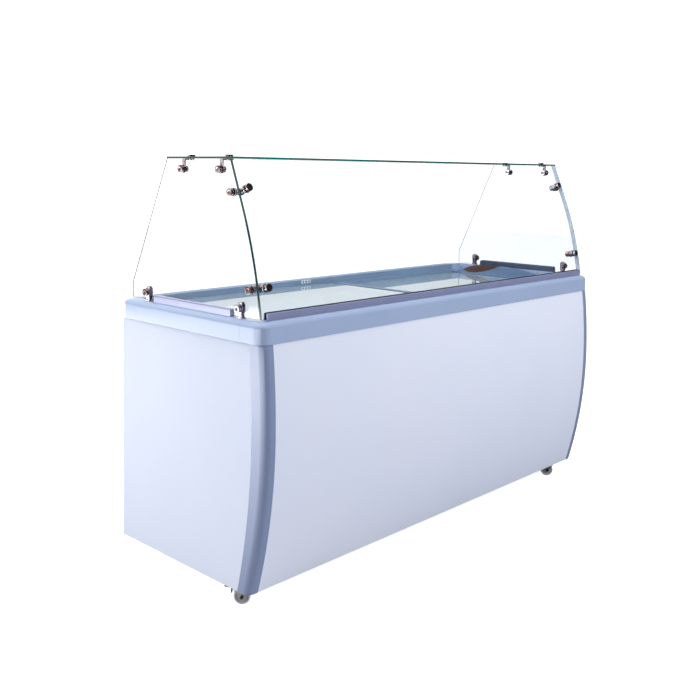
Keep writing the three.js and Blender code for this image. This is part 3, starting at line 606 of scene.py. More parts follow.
TYRE = tyre_look()
RUBBER = plain_look("black_rubber", 0.6, 600)
BLACK = plain_look("black_moulding", 0.42, 900)
# the side strips are the black rubber of the front one, coloured for how light falls: pale as painted light
# on the left, slate as painted shade on the right
GASKETS = {
    "left": plain_look("pale_gasket", 0.5, 700, (176, 176, 202)),
    "right": plain_look("slate_gasket", 0.5, 700, (62, 74, 98)),
}
SEAL = plain_look("edge_seal", 0.4, 700, (182, 190, 205))
HUB = plain_look("grey_hub", 0.45, 700, (186, 188, 194))
ENAMEL = plain_look("black_enamel", 0.3, 300, (18, 19, 22))
ALUMINIUM = aluminium_look()
BRASS = brass_look()
PLATE = plate_look()


# ------------------------------------------------------------------ top frame
def rail_ring():
    """The whole top frame: a rounded rectangle with a rolled foot and a soft outer top edge."""
    rows = [(1.2 * MM, RAIL.z0), (0.3 * MM, RAIL.z0 + 0.4 * MM), (0, RAIL.z0 + 1.4 * MM)]
    straight = RAIL.z1 - RAIL_EDGE_R
    for i in range(13):
        turn = i / 12 * math.pi / 2
        rows.append((RAIL_EDGE_R * (1 - math.cos(turn)), straight + RAIL_EDGE_R * math.sin(turn)))
    sections = []
    for inset, z in rows:
        outline = rounded_rectangle(RAIL.x0 + inset, RAIL.x1 - inset, RAIL.y0 + inset, RAIL.y1 - inset,
                                    RAIL_CORNER_R + inset, 14)
        sections.append([(x, y, z) for x, y in outline])
    return Shape().add(loft(sections))


def rail_pockets():
    """The mouth and the two ledges that the lids run on."""
    above = RAIL.z1 + SPARE
    lower = Box("lid_glass_right").z0 - GAP
    upper = Box("lid_glass_left").z0 - GAP
    front, rear = MOUTH_FRONT - TRACK_STEP, MOUTH_REAR + TRACK_STEP
    pocket = rounded_rectangle(-POCKET_X, POCKET_X, front - TRACK_STEP, rear + TRACK_STEP, 6 * MM, 6)
    return [
        Shape().add(block(-MOUTH_X, MOUTH_X, MOUTH_FRONT, MOUTH_REAR, RAIL.z0 - SPARE, above)),
        Shape().add(block(-MOUTH_X, POCKET_X, front, rear, lower, above)),
        Shape().add(prism(pocket, upper, above)),
    ]


def rail_region(node):
    """Where one CAD node of the frame lies, with room to spare on the frame's outer sides."""
    here = Box(node)
    x0 = here.x0 - (SPARE if here.x0 == RAIL.x0 else 0)
    x1 = here.x1 + (SPARE if here.x1 == RAIL.x1 else 0)
    y0 = here.y0 - (SPARE if here.y0 == RAIL.y0 else 0)
    y1 = here.y1 + (SPARE if here.y1 == RAIL.y1 else 0)
    return Shape().add(block(x0, x1, y0, y1, RAIL.z0 - SPARE, RAIL.z1 + SPARE))


def build_rails():
    """The whole ring, hollowed out and then parted into one piece for each CAD node of the frame."""
    ring = raw_object("rail_ring", rail_ring(), [RAIL_CORNER])
    for pocket in rail_pockets():
        carve(ring, "DIFFERENCE", pocket)
    for node in [n for n in frame["nodes"] if n.startswith("frame_")]:
        made = bpy.data.objects.new(node.replace("frame_", "rail_"), ring.data.copy())
        bpy.context.scene.collection.objects.link(made)
        carve(made, "INTERSECT", rail_region(node))
        soften(made, 0.2 * MM, 2, 50)
        made.data.materials.clear()
        made.data.materials.append(RAIL_LOOKS.get(node, RAIL_CORNER))
        made.data.polygons.foreach_set("material_index", [0] * len(made.data.polygons))
        finish(made, replaces=[node])
    bpy.data.objects.remove(ring)


# ------------------------------------------------------------------ cabinet
def bulge(z, belly, top_setback, foot_setback):
    """Furthest forward at the belly, falling back by parabolas above and below it."""
    above = z > BELLY_Z
    reach = RAIL.z0 - BELLY_Z if above else BELLY_Z - PILLAR.z0
    return belly + (top_setback if above else foot_setback) * ((z - BELLY_Z) / reach) ** 2


def pillar_front(z):
    return bulge(z, PILLAR.y0, 14 * MM, 70 * MM)


def pillar_rear(z):
    return bulge(z, PILLAR.y0 + PILLAR_DEPTH, 13 * MM, 57 * MM)


def levels(steps=56):
    return [PILLAR.z0 + (PILLAR.z1 - PILLAR.z0) * i / steps for i in range(steps + 1)]


def between(front, rear):
    """The closed [y, z] outline between two curves of height."""
    return [(front(z), z) for z in reversed(levels())] + [(rear(z), z) for z in levels()]


def pillar_section(z, side, proud=0.0):
    """One level of a pillar: a front leg and a side leg with a round corner between them."""
    front, rear = pillar_front(z) - proud, pillar_rear(z)
    outer, inner = PILLAR.x1 + proud, PILLAR.x1 - PILLAR_WALL
    corner = arc((outer - PILLAR_R, front + PILLAR_R), PILLAR_R, -math.pi / 2, 0, 18)
    outline = [(PILLAR.x0, front), *corner, (outer, rear), (inner, rear), (inner, front + PILLAR_WALL),
               (PILLAR.x0, front + PILLAR_WALL)]
    return [(side * x, y, z) for x, y in outline]


def build_cabinet():
    """The bowed front, the two ends, and the corner pillars with a bead near the top."""
    front = between(lambda z: pillar_front(z) + PILLAR_PROUD,
                    lambda z: pillar_front(z) + PILLAR_PROUD + FRONT_SHEET)
    piece("front_skin", Shape().add(prism(front, PANEL.x0, PANEL.x1, 12), place=ALONG_X), [PAINT],
          replaces=["front_panel"], edge=0.5 * MM)
    end = between(lambda z: pillar_rear(z) + GAP, lambda z: END_PANEL.y1)
    for name, side in SIDES.items():
        skin = prism(end, side * END_PANEL.x0, side * END_PANEL.x1)
        piece(f"end_skin_{name}", Shape().add(skin, place=ALONG_X), [PAINT],
              replaces=[f"side_panel_{name}"], edge=0.5 * MM)
        pillar = loft([pillar_section(z, side) for z in levels()])
        piece(f"bowed_pillar_{name}", Shape().add(pillar), [PILLAR_LOOK],
              replaces=[f"corner_pillar_{name}"], edge=1.2 * MM, segments=3)
        seam = PILLAR.z1 - 8 * MM
        bead = loft([pillar_section(seam + lift * MM, side, proud * MM)
                     for lift, proud in ((-0.4, 0.05), (-0.2, 0.3), (0.2, 0.3), (0.4, 0.05))])
        piece(f"pillar_bead_{name}", Shape().add(bead), [RAIL_CORNER])


def build_back_screws():
    """Round-headed screws along the rear sheet and round the service cover."""
    shape = Shape()
    head = turned([(0, 0), (3.4, 0), (3.3, 0.8), (2.4, 1.7), (1, 2.1), (0.9, 1.2), (0, 1.1)], 20)
    cover = Box("vent_grille")
    inset = 8 * MM
    spots = [(x, BACK.y1, z) for z in (BACK.z0 + inset, BACK.z1 - 12 * MM)
             for x in (BACK.x0 + inset, BACK.x0 / 2, 0, BACK.x1 / 2, BACK.x1 - inset)]
    spots += [(x, BACK.y1, z) for x in (BACK.x0 + inset, BACK.x1 - inset) for z in BACK_SCREW_Z]
    spots += [(x, cover.y1, z) for x in (cover.x0 + inset, cover.x1 - inset)
              for z in (cover.z0 + inset, cover.z1 - inset)]
    for spot in spots:
        shape.add(head, place=aim(spot, (0, 1, 0)))
    piece("rear_screws", shape, [ZINC])


# ------------------------------------------------------------------ lids
HANDLE_INNER_X = 790 * MM
HANDLE_CREST_X = 846 * MM
HANDLE_BASE = 2 * MM
ARCH_HEIGHT = 38 * MM
ARCH_PEAK_Y = 60 * MM
ARCH_FRONT_REACH = 250 * MM
ARCH_REAR_REACH = 215 * MM
GRIP_FRONT_Y = 59 * MM
GRIP_LOW_Y = 166 * MM
GRIP_REAR_Y = 251 * MM
GRIP_LOW_RISE = 8 * MM
GRIP_END_X = 870 * MM
LID_FLAT = 0.5                       # a face is a lid's edge if its normal's cosine to the vertical is lower
LIDS = {
    "left": {"side": -1, "glass": Box("lid_glass_left"), "handle": Box("lid_handle_left")},
    "right": {"side": 1, "glass": Box("lid_glass_right"), "handle": Box("lid_handle_right")},
}


def arch_rise(y):
    """How high the handle arches above its base, along the lid's depth."""
    behind = y > ARCH_PEAK_Y
    reach = ARCH_REAR_REACH if behind else ARCH_FRONT_REACH
    return max(0.0, ARCH_HEIGHT * (1 - (abs(y - ARCH_PEAK_Y) / reach) ** (4 if behind else 2)))


def handle_section(y, side, lid):
    """Flat on the glass, up a smooth slope, over a round crest and down the outer skirt."""
    rise = arch_rise(y)
    top = lid["glass"].z1
    base = top + HANDLE_BASE
    outer = max(abs(lid["handle"].x0), abs(lid["handle"].x1))
    lip = outer - 2 * MM
    skirt = outer - HANDLE_CREST_X
    slope = HANDLE_CREST_X - HANDLE_INNER_X
    foot = lid["glass"].z0
    outline = [(HANDLE_INNER_X, top + GAP), (lip, top + GAP), (lip, foot), (outer, foot)]
    for i in range(9):
        turn = i / 8 * math.pi / 2
        height = 0.55 + 0.45 * math.sin(turn)
        outline.append((HANDLE_CREST_X + skirt * math.cos(turn), base + rise * height))
    for i in range(1, 25):
        share = 1 - i / 24
        smooth = share * share * (3 - 2 * share)
        outline.append((HANDLE_INNER_X + slope * share, base + rise * smooth))
    return [(side * x, y, z) for x, z in outline]


def handle_shape(side, lid, steps=80):
    y0, y1 = lid["handle"].y0, lid["handle"].y1
    places = [y0 + (y1 - y0) * i / steps for i in range(steps + 1)]
    return Shape().add(loft([handle_section(y, side, lid) for y in places]))


def grip_tool(side, lid, lift):
    """The lens that the grip fills: an arc under the crest, open upwards."""
    top = lid["glass"].z1
    front = top + HANDLE_BASE + arch_rise(GRIP_FRONT_Y)
    rear = top + HANDLE_BASE + arch_rise(GRIP_REAR_Y)
    low = 2 * (top + GRIP_LOW_RISE) - (front + rear) / 2
    outline = []
    for i in range(41):
        t = i / 40
        a, b, c = (1 - t) ** 2, 2 * t * (1 - t), t * t
        y = a * GRIP_FRONT_Y + b * GRIP_LOW_Y + c * GRIP_REAR_Y
        outline.append((y, a * front + b * low + c * rear + lift))
    roof = top + 2 * ARCH_HEIGHT
    outline += [(GRIP_REAR_Y, roof), (GRIP_FRONT_Y, roof)]
    lens = prism(outline, side * (HANDLE_INNER_X - 10 * MM), side * GRIP_END_X)
    return Shape().add(lens, place=ALONG_X)


def build_lid(name):
    """A sliding pane with its arched handle and grip at the outer end and a trim at the other."""
    lid = LIDS[name]
    side, glass = lid["side"], lid["glass"]
    body = f"lid_{name}"
    pane = Shape().add(block(glass.x0, glass.x1, glass.y0, glass.y1, glass.z0, glass.z1))
    made = piece(f"lid_pane_{name}", pane, [LID_GLASS, LID_EDGE], body, [f"lid_glass_{name}"],
                 edge=0.7 * MM)
    paint_edges(made, lambda face: abs(face.normal.z) < LID_FLAT)
    handle = handle_shape(side, lid)
    piece(f"handle_arch_{name}", handle, [HANDLE_LOOK], body, [f"lid_handle_{name}"],
          less=grip_tool(side, lid, 0), edge=0.7 * MM)
    piece(f"handle_grip_{name}", handle, [GRIP], body, [f"lid_grip_{name}"],
          within=grip_tool(side, lid, GAP), edge=0.7 * MM)
    trim = Box(f"lid_trim_{name}")
    low, high = glass.z0 - GAP, glass.z1 + GAP
    web = (glass.x1 if side < 0 else glass.x0) - side * GAP
    open_end, closed_end = (trim.x0, trim.x1) if side < 0 else (trim.x1, trim.x0)
    outline = [(closed_end, trim.z0), (closed_end, trim.z1), (open_end, trim.z1 - 1.2 * MM),
               (open_end, high), (web, high), (web, low), (open_end, low), (open_end, trim.z0)]
    strip = prism(fillet(outline, 1 * MM, 4), trim.y0, trim.y1)
    piece(f"lid_edge_trim_{name}", Shape().add(strip, place=ALONG_Y), [HANDLE_LOOK], body,
          [f"lid_trim_{name}"], edge=0.3 * MM)


def paint_edges(made, is_edge):
    """Gives the second look to the faces that is_edge picks, and the first to the others."""
    made.data.polygons.foreach_set("material_index", [1 if is_edge(f) else 0 for f in made.data.polygons])


# ------------------------------------------------------------------ guard
FOOT_Z = SIDE_GLASS.z0
HEAD_Z = SIDE_GLASS.z1
BEND_Y = BEND_TOP_Y + BEND_R * math.cos(LEAN)
BEND_Z = BEND_TOP_Z - BEND_R * math.sin(LEAN)
TOP_CLAMP_Z = HEAD_Z - 30.7 * MM
TOP_BOLT_X = GUARD_X - 30 * MM
TOP_BOSS = 13 * MM
BRACKET_HALF = 6.5 * MM
BRACKET_THICK = 5 * MM
SIDE_KNEE_Z = 916 * MM               # the side panes' rear edge is upright to here, and leans forward above
SIDE_HEAD_Y = 126 * MM
SEAL_DEPTH = 13 * MM                 # depth of the soft strip along the front of the right-hand pane
FLAT = 0.95                          # a face is a pane's edge if its normal's cosine to the pane's is lower
CORNER_CLAMP_Z = {"upper": 1222 * MM, "lower": 947 * MM}


def front_face(offset, steps=44):
    """One face of the front glass, as [y, z] points from foot to head; offset is outwards."""
    radius = BEND_R + offset
    foot_lean = math.asin((FOOT_Z - BEND_Z) / radius)
    bend = []
    for i in range(steps + 1):
        lean = foot_lean + (LEAN - foot_lean) * i / steps
        bend.append((BEND_Y - radius * math.cos(lean), BEND_Z + radius * math.sin(lean)))
    y, z = bend[-1]
    return [*bend, (y + (HEAD_Z - z) * math.tan(LEAN), HEAD_Z)]


def front_glass_at(z):
    """The middle of the front glass at a height, and its outward direction."""
    lean = LEAN
    y = BEND_TOP_Y + (z - BEND_TOP_Z) * math.tan(LEAN)
    if z < BEND_TOP_Z:
        lean = math.asin((z - BEND_Z) / BEND_R)
        y = BEND_Y - BEND_R * math.cos(lean)
    return Vector((0, y, z)), Vector((0, -math.cos(lean), math.sin(lean)))


def elbow_at(side, z):
    """The corner elbow's centre, equally far inside the side glass and the front glass."""
    place, out = front_glass_at(z)
    centre = place - out * (HALF_GLASS + CLAMP_ARM)
    return Vector((side * (GUARD_X - HALF_GLASS - CLAMP_ARM), centre.y, centre.z)), out


def drill(holes, centre, direction):
    """Adds the hole of a clamp's stud to the holes of a pane."""
    holes.add(rod(HOLE_R, 60 * MM, 32), place=aim(centre, direction))


def build_guard():
    """The four panes, drilled for their clamps, and the seal along the right-hand one."""
    front_holes, top_holes = Shape(), Shape()
    rear = SIDE_GLASS.y1
    outline = [*reversed(front_face(-HALF_GLASS - GAP)), (rear, FOOT_Z), (rear, SIDE_KNEE_Z),
               (SIDE_HEAD_Y, HEAD_Z)]
    for name, side in SIDES.items():
        holes = Shape()
        for z in CORNER_CLAMP_Z.values():
            centre, out = elbow_at(side, z)
            drill(holes, centre, (side, 0, 0))
            drill(front_holes, centre, out)
        for end in ENDS:
            bolt = (side * TOP_BOLT_X, Box(f"clamp_top_{end}_right").y, TOP_CLAMP_Z)
            drill(holes, bolt, (side, 0, 0))
            drill(top_holes, bolt, (0, 0, 1))
        pane = prism(outline, side * (GUARD_X - HALF_GLASS), side * (GUARD_X + HALF_GLASS))
        made = piece(f"side_pane_{name}", Shape().add(pane, place=ALONG_X), [GUARD_GLASS, GUARD_EDGE],
                     replaces=[f"guard_side_{name}"], less=holes, edge=0.5 * MM)
        paint_edges(made, lambda face: abs(face.normal.x) < FLAT)
    seal = [*reversed(front_face(-HALF_GLASS - GAP)), *front_face(-HALF_GLASS - SEAL_DEPTH)]
    inner = SIDE_GLASS.x0 - GAP
    piece("edge_seal_right", Shape().add(prism(seal, inner - 0.6 * MM, inner), place=ALONG_X), [SEAL],
          edge=0.15 * MM)
    section = [*reversed(front_face(HALF_GLASS)), *front_face(-HALF_GLASS)]
    edge = GUARD_X + HALF_GLASS
    made = piece("front_pane", Shape().add(prism(section, -edge, edge, 24), place=ALONG_X),
                 [GUARD_GLASS, GUARD_EDGE], replaces=["guard_front"], less=front_holes,
                 edge=0.5 * MM)
    paint_edges(made, lambda face: abs(face.normal.dot(front_glass_at(face.center.z)[1])) < FLAT)
    pane = block(-edge, edge, TOP_GLASS.y0, TOP_GLASS.y1, TOP_GLASS.z0, TOP_GLASS.z1)
    made = piece("top_pane", Shape().add(pane), [GUARD_GLASS, TOP_EDGE],
                 replaces=["guard_top"], less=top_holes, edge=0.5 * MM)
    paint_edges(made, lambda face: abs(face.normal.z) < FLAT)


def channel_section(wall=3 * MM):
    """The [u, z] section of a glazing channel: two walls, a floor and rounded lips."""
    box = Box("channel_front")
    half = (box.y1 - box.y0) / 2
    z0, z1 = box.z0, box.z1
    inner = half - wall
    return [
        (-half, z0), (half, z0), *arc((inner, z1 - wall), wall, 0, math.pi / 2, 8)[:-1],
        (inner, z1), (inner, z0 + wall), (-inner, z0 + wall), (-inner, z1),
        *arc((-inner, z1 - wall), wall, math.pi / 2, math.pi, 8)[1:],
    ]


def gasket_section(side, inner):
    """A rubber strip that fills one side of the channel, with a lip that leans on the glass."""
    box = Box("channel_front")
    z0, z1 = box.z0 + 3.3 * MM, box.z1
    outer = 6.7 * MM
    outline = [(inner, z0), (outer, z0), (outer, z1 + 0.2 * MM), (outer - 0.6 * MM, z1 + 1.4 * MM),
               (inner, z1 + 1.8 * MM)]
    return [(side * u, z) for u, z in outline]


def drawn_out(sections, middle, low, high, place):
    """Sections [u, z], set at a middle and extruded from low to high."""
    shape = Shape()
    for section in sections:
        shape.add(prism([(middle + u, z) for u, z in section], low, high), place=place)
    return shape


def build_channels():
    """The three glazing channels and the rubber strips that grip the glass in them."""
    recess = 3 * MM
    corner = 8 * MM
    spare = 10 * MM
    box = Box("channel_front")
    piece("glazing_channel_front", drawn_out([channel_section()], box.y, box.x0, box.x1, ALONG_X),
          [CHANNEL_LOOKS["front"]], replaces=["channel_front"], edge=0.35 * MM)
    strips = [gasket_section(way, 4.8 * MM) for way in (-1, 1)]
    piece("glazing_gasket_front", drawn_out(strips, box.y, box.x0 + recess, box.x1 - recess, ALONG_X),
          [RUBBER], edge=0.2 * MM)
    strips = [gasket_section(way, 3.15 * MM) for way in (-1, 1)]
    for name in SIDES:
        box = Box(f"channel_{name}")
        outline = [(box.y0, box.z0), (box.y1, box.z0),
                   *arc((box.y1 - corner, box.z1 - corner), corner, 0, math.pi / 2, 12), (box.y0, box.z1)]
        rounded = Shape().add(prism(outline, box.x0 - spare, box.x1 + spare), place=ALONG_X)
        walls = drawn_out([channel_section()], box.x, box.y0 - spare, box.y1 + spare, ALONG_Y)
        piece(f"glazing_channel_{name}", walls, [CHANNEL_LOOKS[name]],
              replaces=[f"channel_{name}"], within=rounded, edge=0.35 * MM)
        piece(f"glazing_gasket_{name}", drawn_out(strips, box.x, box.y0 + recess, box.y1 - corner, ALONG_Y),
              [GASKETS[name]], edge=0.2 * MM)


# ------------------------------------------------------------------ clamps
def ring_points(radius, height, count=48):
    turns = [2 * math.pi * i / count for i in range(count)]
    return [(radius * math.cos(t), radius * math.sin(t), height) for t in turns]


def hexagon_points(radius, height, count=48):
    """Points on a hexagon, one for each point of a ring."""
    points = []
    for i in range(count):
        turn = 2 * math.pi * i / count
        within = (turn % (math.pi / 3)) - math.pi / 6
        reach = radius * math.cos(math.pi / 6) / math.cos(within)
        points.append((reach * math.cos(turn), reach * math.sin(turn), height))
    return points


def knob(radius, length, socket=4.6 * MM):
    """A turned knob from height 0 up: a groove, a rounded rim and a hexagonal socket."""
    rim = 1.6 * MM
    rows = [(radius - 1.2 * MM, 0), (radius - 0.5 * MM, 0.15 * MM), (radius - 0.1 * MM, 0.5 * MM),
            (radius, 1.0 * MM), (radius, length * 0.36), (radius - 0.8 * MM, length * 0.4),
            (radius - 0.8 * MM, length * 0.46), (radius, length * 0.5), (radius, length - rim)]
    rows += [(radius - rim + rim * math.cos(t), length - rim + rim * math.sin(t))
             for t in (math.pi * i / 16 for i in range(1, 9))]
    rows.append((socket + 1.4 * MM, length))
    sections = [ring_points(r, h) for r, h in rows]
    sections.append(ring_points(socket + 0.7 * MM, length - 0.1 * MM))
    sections.append(hexagon_points(socket, length - 0.7 * MM))
    sections.append(hexagon_points(socket, length - 3.2 * MM))
    return loft(sections)


def add_arm(shape, centre, direction, to_glass):
    """From the elbow through a drilled glass: boss, pads, stud and knob."""
    place = aim(centre, direction)
    near = to_glass - PAD
    boss = [(0, -2 * MM), (9.6 * MM, 0), (9.8 * MM, near * 0.45), (10.4 * MM, near * 0.62),
            (12.4 * MM, near * 0.74), (BOSS_R, near * 0.8), (BOSS_R, near - 1.2 * MM),
            (BOSS_R - 0.4 * MM, near - 0.4 * MM), (BOSS_R - 1.1 * MM, near), (0, near)]
    shape.add(revolve(boss, 40), 0, place)
    pad = revolve([(STUD_R + 0.5 * MM, 0), (BOSS_R - 0.8 * MM, 0), (BOSS_R - 0.8 * MM, PAD),
                   (STUD_R + 0.5 * MM, PAD)], 40, closed=True)
    far = to_glass + GLASS
    shape.add(pad, 1, place @ Matrix.Translation((0, 0, near)))
    shape.add(pad, 1, place @ Matrix.Translation((0, 0, far)))
    shape.add(rod(STUD_R, far + 2 * MM, start=near - 1 * MM), 0, place)
    shape.add(knob(KNOB_R, KNOB_LENGTH), 0, place @ Matrix.Translation((0, 0, far + PAD)))


def ball(radius):
    turns = [math.pi * i / 16 for i in range(17)]
    return revolve([(radius * math.sin(t), -radius * math.cos(t)) for t in turns], 32)


def build_corner_clamp(level, name):
    """A round elbow with an arm through the side pane and another through the front pane."""
    side = SIDES[name]
    centre, out = elbow_at(side, CORNER_CLAMP_Z[level])
    shape = Shape().add(ball(BOSS_R - 1.5 * MM), place=Matrix.Translation(centre))
    add_arm(shape, centre, Vector((side, 0, 0)), CLAMP_ARM)
    add_arm(shape, centre, out, CLAMP_ARM)
    piece(f"corner_bracket_{level}_{name}", shape, [CHROME, RUBBER],
          replaces=[f"clamp_corner_{level}_{name}"])


def build_top_clamp(end, name):
    """An angle bracket in the corner of two panes, with a knob outside and a cap on top."""
    side = SIDES[name]
    node = f"clamp_top_{end}_{name}"
    y = Box(node).y
    inner = GUARD_X - HALF_GLASS
    upright = inner - PAD
    under = TOP_GLASS.z0 - GAP
    outline = [(TOP_BOLT_X, under), (upright, under), (upright, TOP_CLAMP_Z - BRACKET_HALF),
               (upright - BRACKET_THICK, TOP_CLAMP_Z - BRACKET_HALF),
               (upright - BRACKET_THICK, under - BRACKET_THICK), (TOP_BOLT_X, under - BRACKET_THICK)]
    section = [(side * x, z) for x, z in fillet(outline, 2.5 * MM, 4)]
    angle = prism(section, y - BRACKET_HALF, y + BRACKET_HALF)
    made = raw_object(f"top_bracket_{end}_{name}", Shape().add(angle, place=ALONG_Y), [CHROME, RUBBER])
    soften(made, 0.6 * MM)
    extra = Shape()
    add_arm(extra, Vector((side * (inner - TOP_BOSS), y, TOP_CLAMP_Z)), Vector((side, 0, 0)), TOP_BOSS)
    bolt = Matrix.Translation((side * TOP_BOLT_X, y, under))
    disc = [(0, -5.4), (10.6, -5.4), (11.6, -4.6), (12, -3.6), (12, -1.2), (11.4, -0.6), (0, -0.6)]
    pad = [(4.6, -0.6), (11.2, -0.6), (11.2, 0), (4.6, 0)]
    stud = [(0, -1), (4, -1), (4, 8), (0, 8)]
    for look, profile, closed in ((0, disc, False), (1, pad, True), (0, stud, False)):
        extra.add(turned(profile, 40, closed), look, bolt)
    extra.add(knob(12 * MM, 5.6 * MM), 0, Matrix.Translation((side * TOP_BOLT_X, y, TOP_GLASS.z1 + GAP)))
    merge_shape(made, extra)
    finish(made, replaces=[node])


def build_base_clamp(end, name):
    """A slotted post that grips the foot of the side glass, with a cap on top and a knob outside."""
    side = SIDES[name]
    node = f"clamp_base_{end}_{name}"
    box = Box(node)
    x, y, z0 = side * GUARD_X, box.y, box.z0
    rows = [(10, 0), (10, 3), (8.6, 4.5), (8.6, 10), (9.4, 13), (10, 17), (10, 40.5), (9.4, 41.6), (8.4, 42)]
    sections = []
    for half, height in rows:
        depth = (half - 1) * MM
        outline = rounded_rectangle(x - half * MM, x + half * MM, y - depth, y + depth, 3.2 * MM, 8)
        sections.append([(u, v, z0 + height * MM) for u, v in outline])
    shape = Shape().add(loft(sections))
    slot = HALF_GLASS + GAP
    gap = Shape().add(block(x - slot, x + slot, y - 30 * MM, y + 30 * MM, z0 + 3 * MM, z0 + 60 * MM))
    made = raw_object(f"base_bracket_{end}_{name}", shape, [CHROME, RUBBER])
    carve(made, "DIFFERENCE", gap)
    soften(made, 0.4 * MM)
    extra = Shape()
    head = z0 + rows[-1][1] * MM
    for way in (-1, 1):
        cap = loft([[(u * scale, v * scale, h * MM) for u, v in half_disc(way)]
                    for scale, h in ((1, -0.6), (1.03, 0.2), (1.03, 2.6), (0.98, 3.4), (0.86, 4))])
        extra.add(cap, 0, Matrix.Translation((x + way * CHEEK_X, y, head)))
    bolt_z = z0 + 28 * MM
    extra.add(knob(KNOB_R, 11 * MM), 0, aim((x + side * 10 * MM, y, bolt_z), (side, 0, 0)))
    extra.add(turned([(0, 0), (6.5, 0), (6.5, 0.8), (5.6, 1.7), (0, 2)], 32), 0,
              aim((x - side * 10.1 * MM, y, bolt_z), (-side, 0, 0)))
    merge_shape(made, extra)
    finish(made, replaces=[node])


def half_disc(way, radius=9.3 * MM, flat=3.3 * MM):
    """Half of the round cap, on one side of the glass slot; centred on its own cheek."""
    turn = math.acos(flat / radius)
    return [(way * (u - CHEEK_X), v) for u, v in arc((0, 0), radius, -turn, turn, 24)]


def merge_shape(made, shape):
    """Adds more bodies to an object's mesh, with the same looks."""
    extra = raw_object("extra", shape, list(made.data.materials))
    work = bmesh.new()
    work.from_mesh(made.data)
    work.from_mesh(extra.data)
    work.to_mesh(made.data)
    work.free()
    bpy.data.objects.remove(extra)


# ------------------------------------------------------------------ casters
BRAKE_X, BRAKE_Z = -36 * MM, 52 * MM
BRAKE_BORE_R = 3.1 * MM
SEAT_Z = 70 * MM
FORK_HALF = 11.5 * MM
FORK_SHEET = 2 * MM


def caster_place(name):
    """Stands a caster under its swivel, so that it rolls away from its wheel's axle."""
    swivel = joint_place(f"caster_{name}_swivel")
    wheel = joint_place(f"wheel_{name}_spin")
    turn = math.atan2(swivel.y - wheel.y, swivel.x - wheel.x)
    return Matrix.Translation((swivel.x, swivel.y, 0)) @ Matrix.Rotation(turn, 4, "Z")


def across(outline, y0, y1):
    """A plate whose [x, z] outline lies across the caster."""
    verts, faces = prism(outline, y0, y1)
    return [ALONG_Y @ Vector(v) for v in verts], faces


def hex_nut(radius, length):
    """A nut from height 0 up, with its corners turned off at both ends."""
    rows = [(0.86, 0, ring_points), (1, 0.18, hexagon_points),
            (1, 0.82, hexagon_points), (0.86, 1, ring_points)]
    return loft([make(radius * scale, length * height, 36) for scale, height, make in rows])


def fork_shape(place):
    """Two cheeks with their washers and nuts, the swivel head with its ball race, and the axle."""
    crown = SEAT_Z - 13 * MM
    shape = Shape()
    eye = arc((-TRAIL, WHEEL_R), 8 * MM, math.pi, 2 * math.pi, 18)
    shoulders = [(17 * MM, crown + MM), (BRAKE_X - 8 * MM, crown + MM), (BRAKE_X - 8 * MM, BRAKE_Z - 5 * MM)]
    cheek = eye + fillet(shoulders + eye[:1], 3 * MM, 4)[:-6]
    for way in (-1, 1):
        outer = way * (FORK_HALF + FORK_SHEET)
        shape.add(across(cheek, way * FORK_HALF, outer), 0, place)
        bolt = place @ aim((-TRAIL, outer, WHEEL_R), (0, way, 0))
        shape.add(turned([(0, -1), (6.6, -1), (6.6, 0.9), (6, 1.2), (0, 1.2)], 28), 0, bolt)
        shape.add(hex_nut(5.6 * MM, 3.6 * MM), 1, bolt @ Matrix.Translation((0, 0, 1.2 * MM)))
    head = [(0, -0.4), (14, -0.4), (18.2, 0.2), (19, 1), (18.6, 2.2), (15.4, 3.2), (14.8, 4.4), (16.2, 5.2),
            (16.6, 7), (16, 9.2), (14.2, 11), (14, 12.7), (0, 12.7)]
    shape.add(turned(head, 48), 0, place @ Matrix.Translation((0, 0, crown)))
    shape.add(rod(STUD_R, 23 * MM), 0, place @ aim((-TRAIL, -FORK_HALF, WHEEL_R), (0, 1, 0)))
    return shape


def mirrored(profile):
    """A closed profile from its upper half, listed from the inner edge outwards."""
    return [(r, -h) for r, h in profile] + profile[::-1]


def wheel_bodies():
    """The tyre, the hub and the two bearing covers, round +Z."""
    tyre = mirrored([(19.4, 7.6), (21.5, 8.4), (23.4, 7.6), (24.6, 5.4), (25, 2.4)])
    hub = mirrored([(4.6, 10), (9.2, 10), (10, 9.4), (10.6, 7.4), (17.2, 6.6), (18.4, 8.2), (19.4, 8.6)])
    cover = [(4.7, 9.9), (8.2, 9.9), (8, 10.5), (7, 10.9), (5.2, 10.7), (4.7, 10.4)]
    far_cover = [(r, -h) for r, h in cover]
    return [turned(profile, 64, closed=True) for profile in (tyre, hub, cover, far_cover)]


def build_casters():
    """Four swivel casters, the front left one with the pin and pedal of its brake."""
    for name in [n.replace("caster_fork_", "") for n in frame["nodes"] if n.startswith("caster_fork_")]:
        place = caster_place(name)
        shape = fork_shape(place)
        if name == "front_left":
            pin = turned([(0, 0), (2.5, 0), (2.5, 31), (2, 31.4), (0, 31.4)], 24)
            shape.add(pin, 0, place @ aim((BRAKE_X, -FORK_HALF - 4 * MM, BRAKE_Z), (0, 1, 0)))
        piece(f"swivel_fork_{name}", shape, [ZINC, ENAMEL], f"caster_{name}",
              [f"caster_fork_{name}"], edge=0.35 * MM)
        wheel = Shape()
        upright = place @ aim((-TRAIL, 0, WHEEL_R), (0, 1, 0))
        for body, look in zip(wheel_bodies(), (0, 1, 2, 2)):
            wheel.add(body, look, upright)
        piece(f"wheel_{name}_tyre", wheel, [TYRE, HUB, ZINC], f"wheel_{name}",
              [f"caster_wheel_{name}"])
    build_brake(caster_place("front_left"))


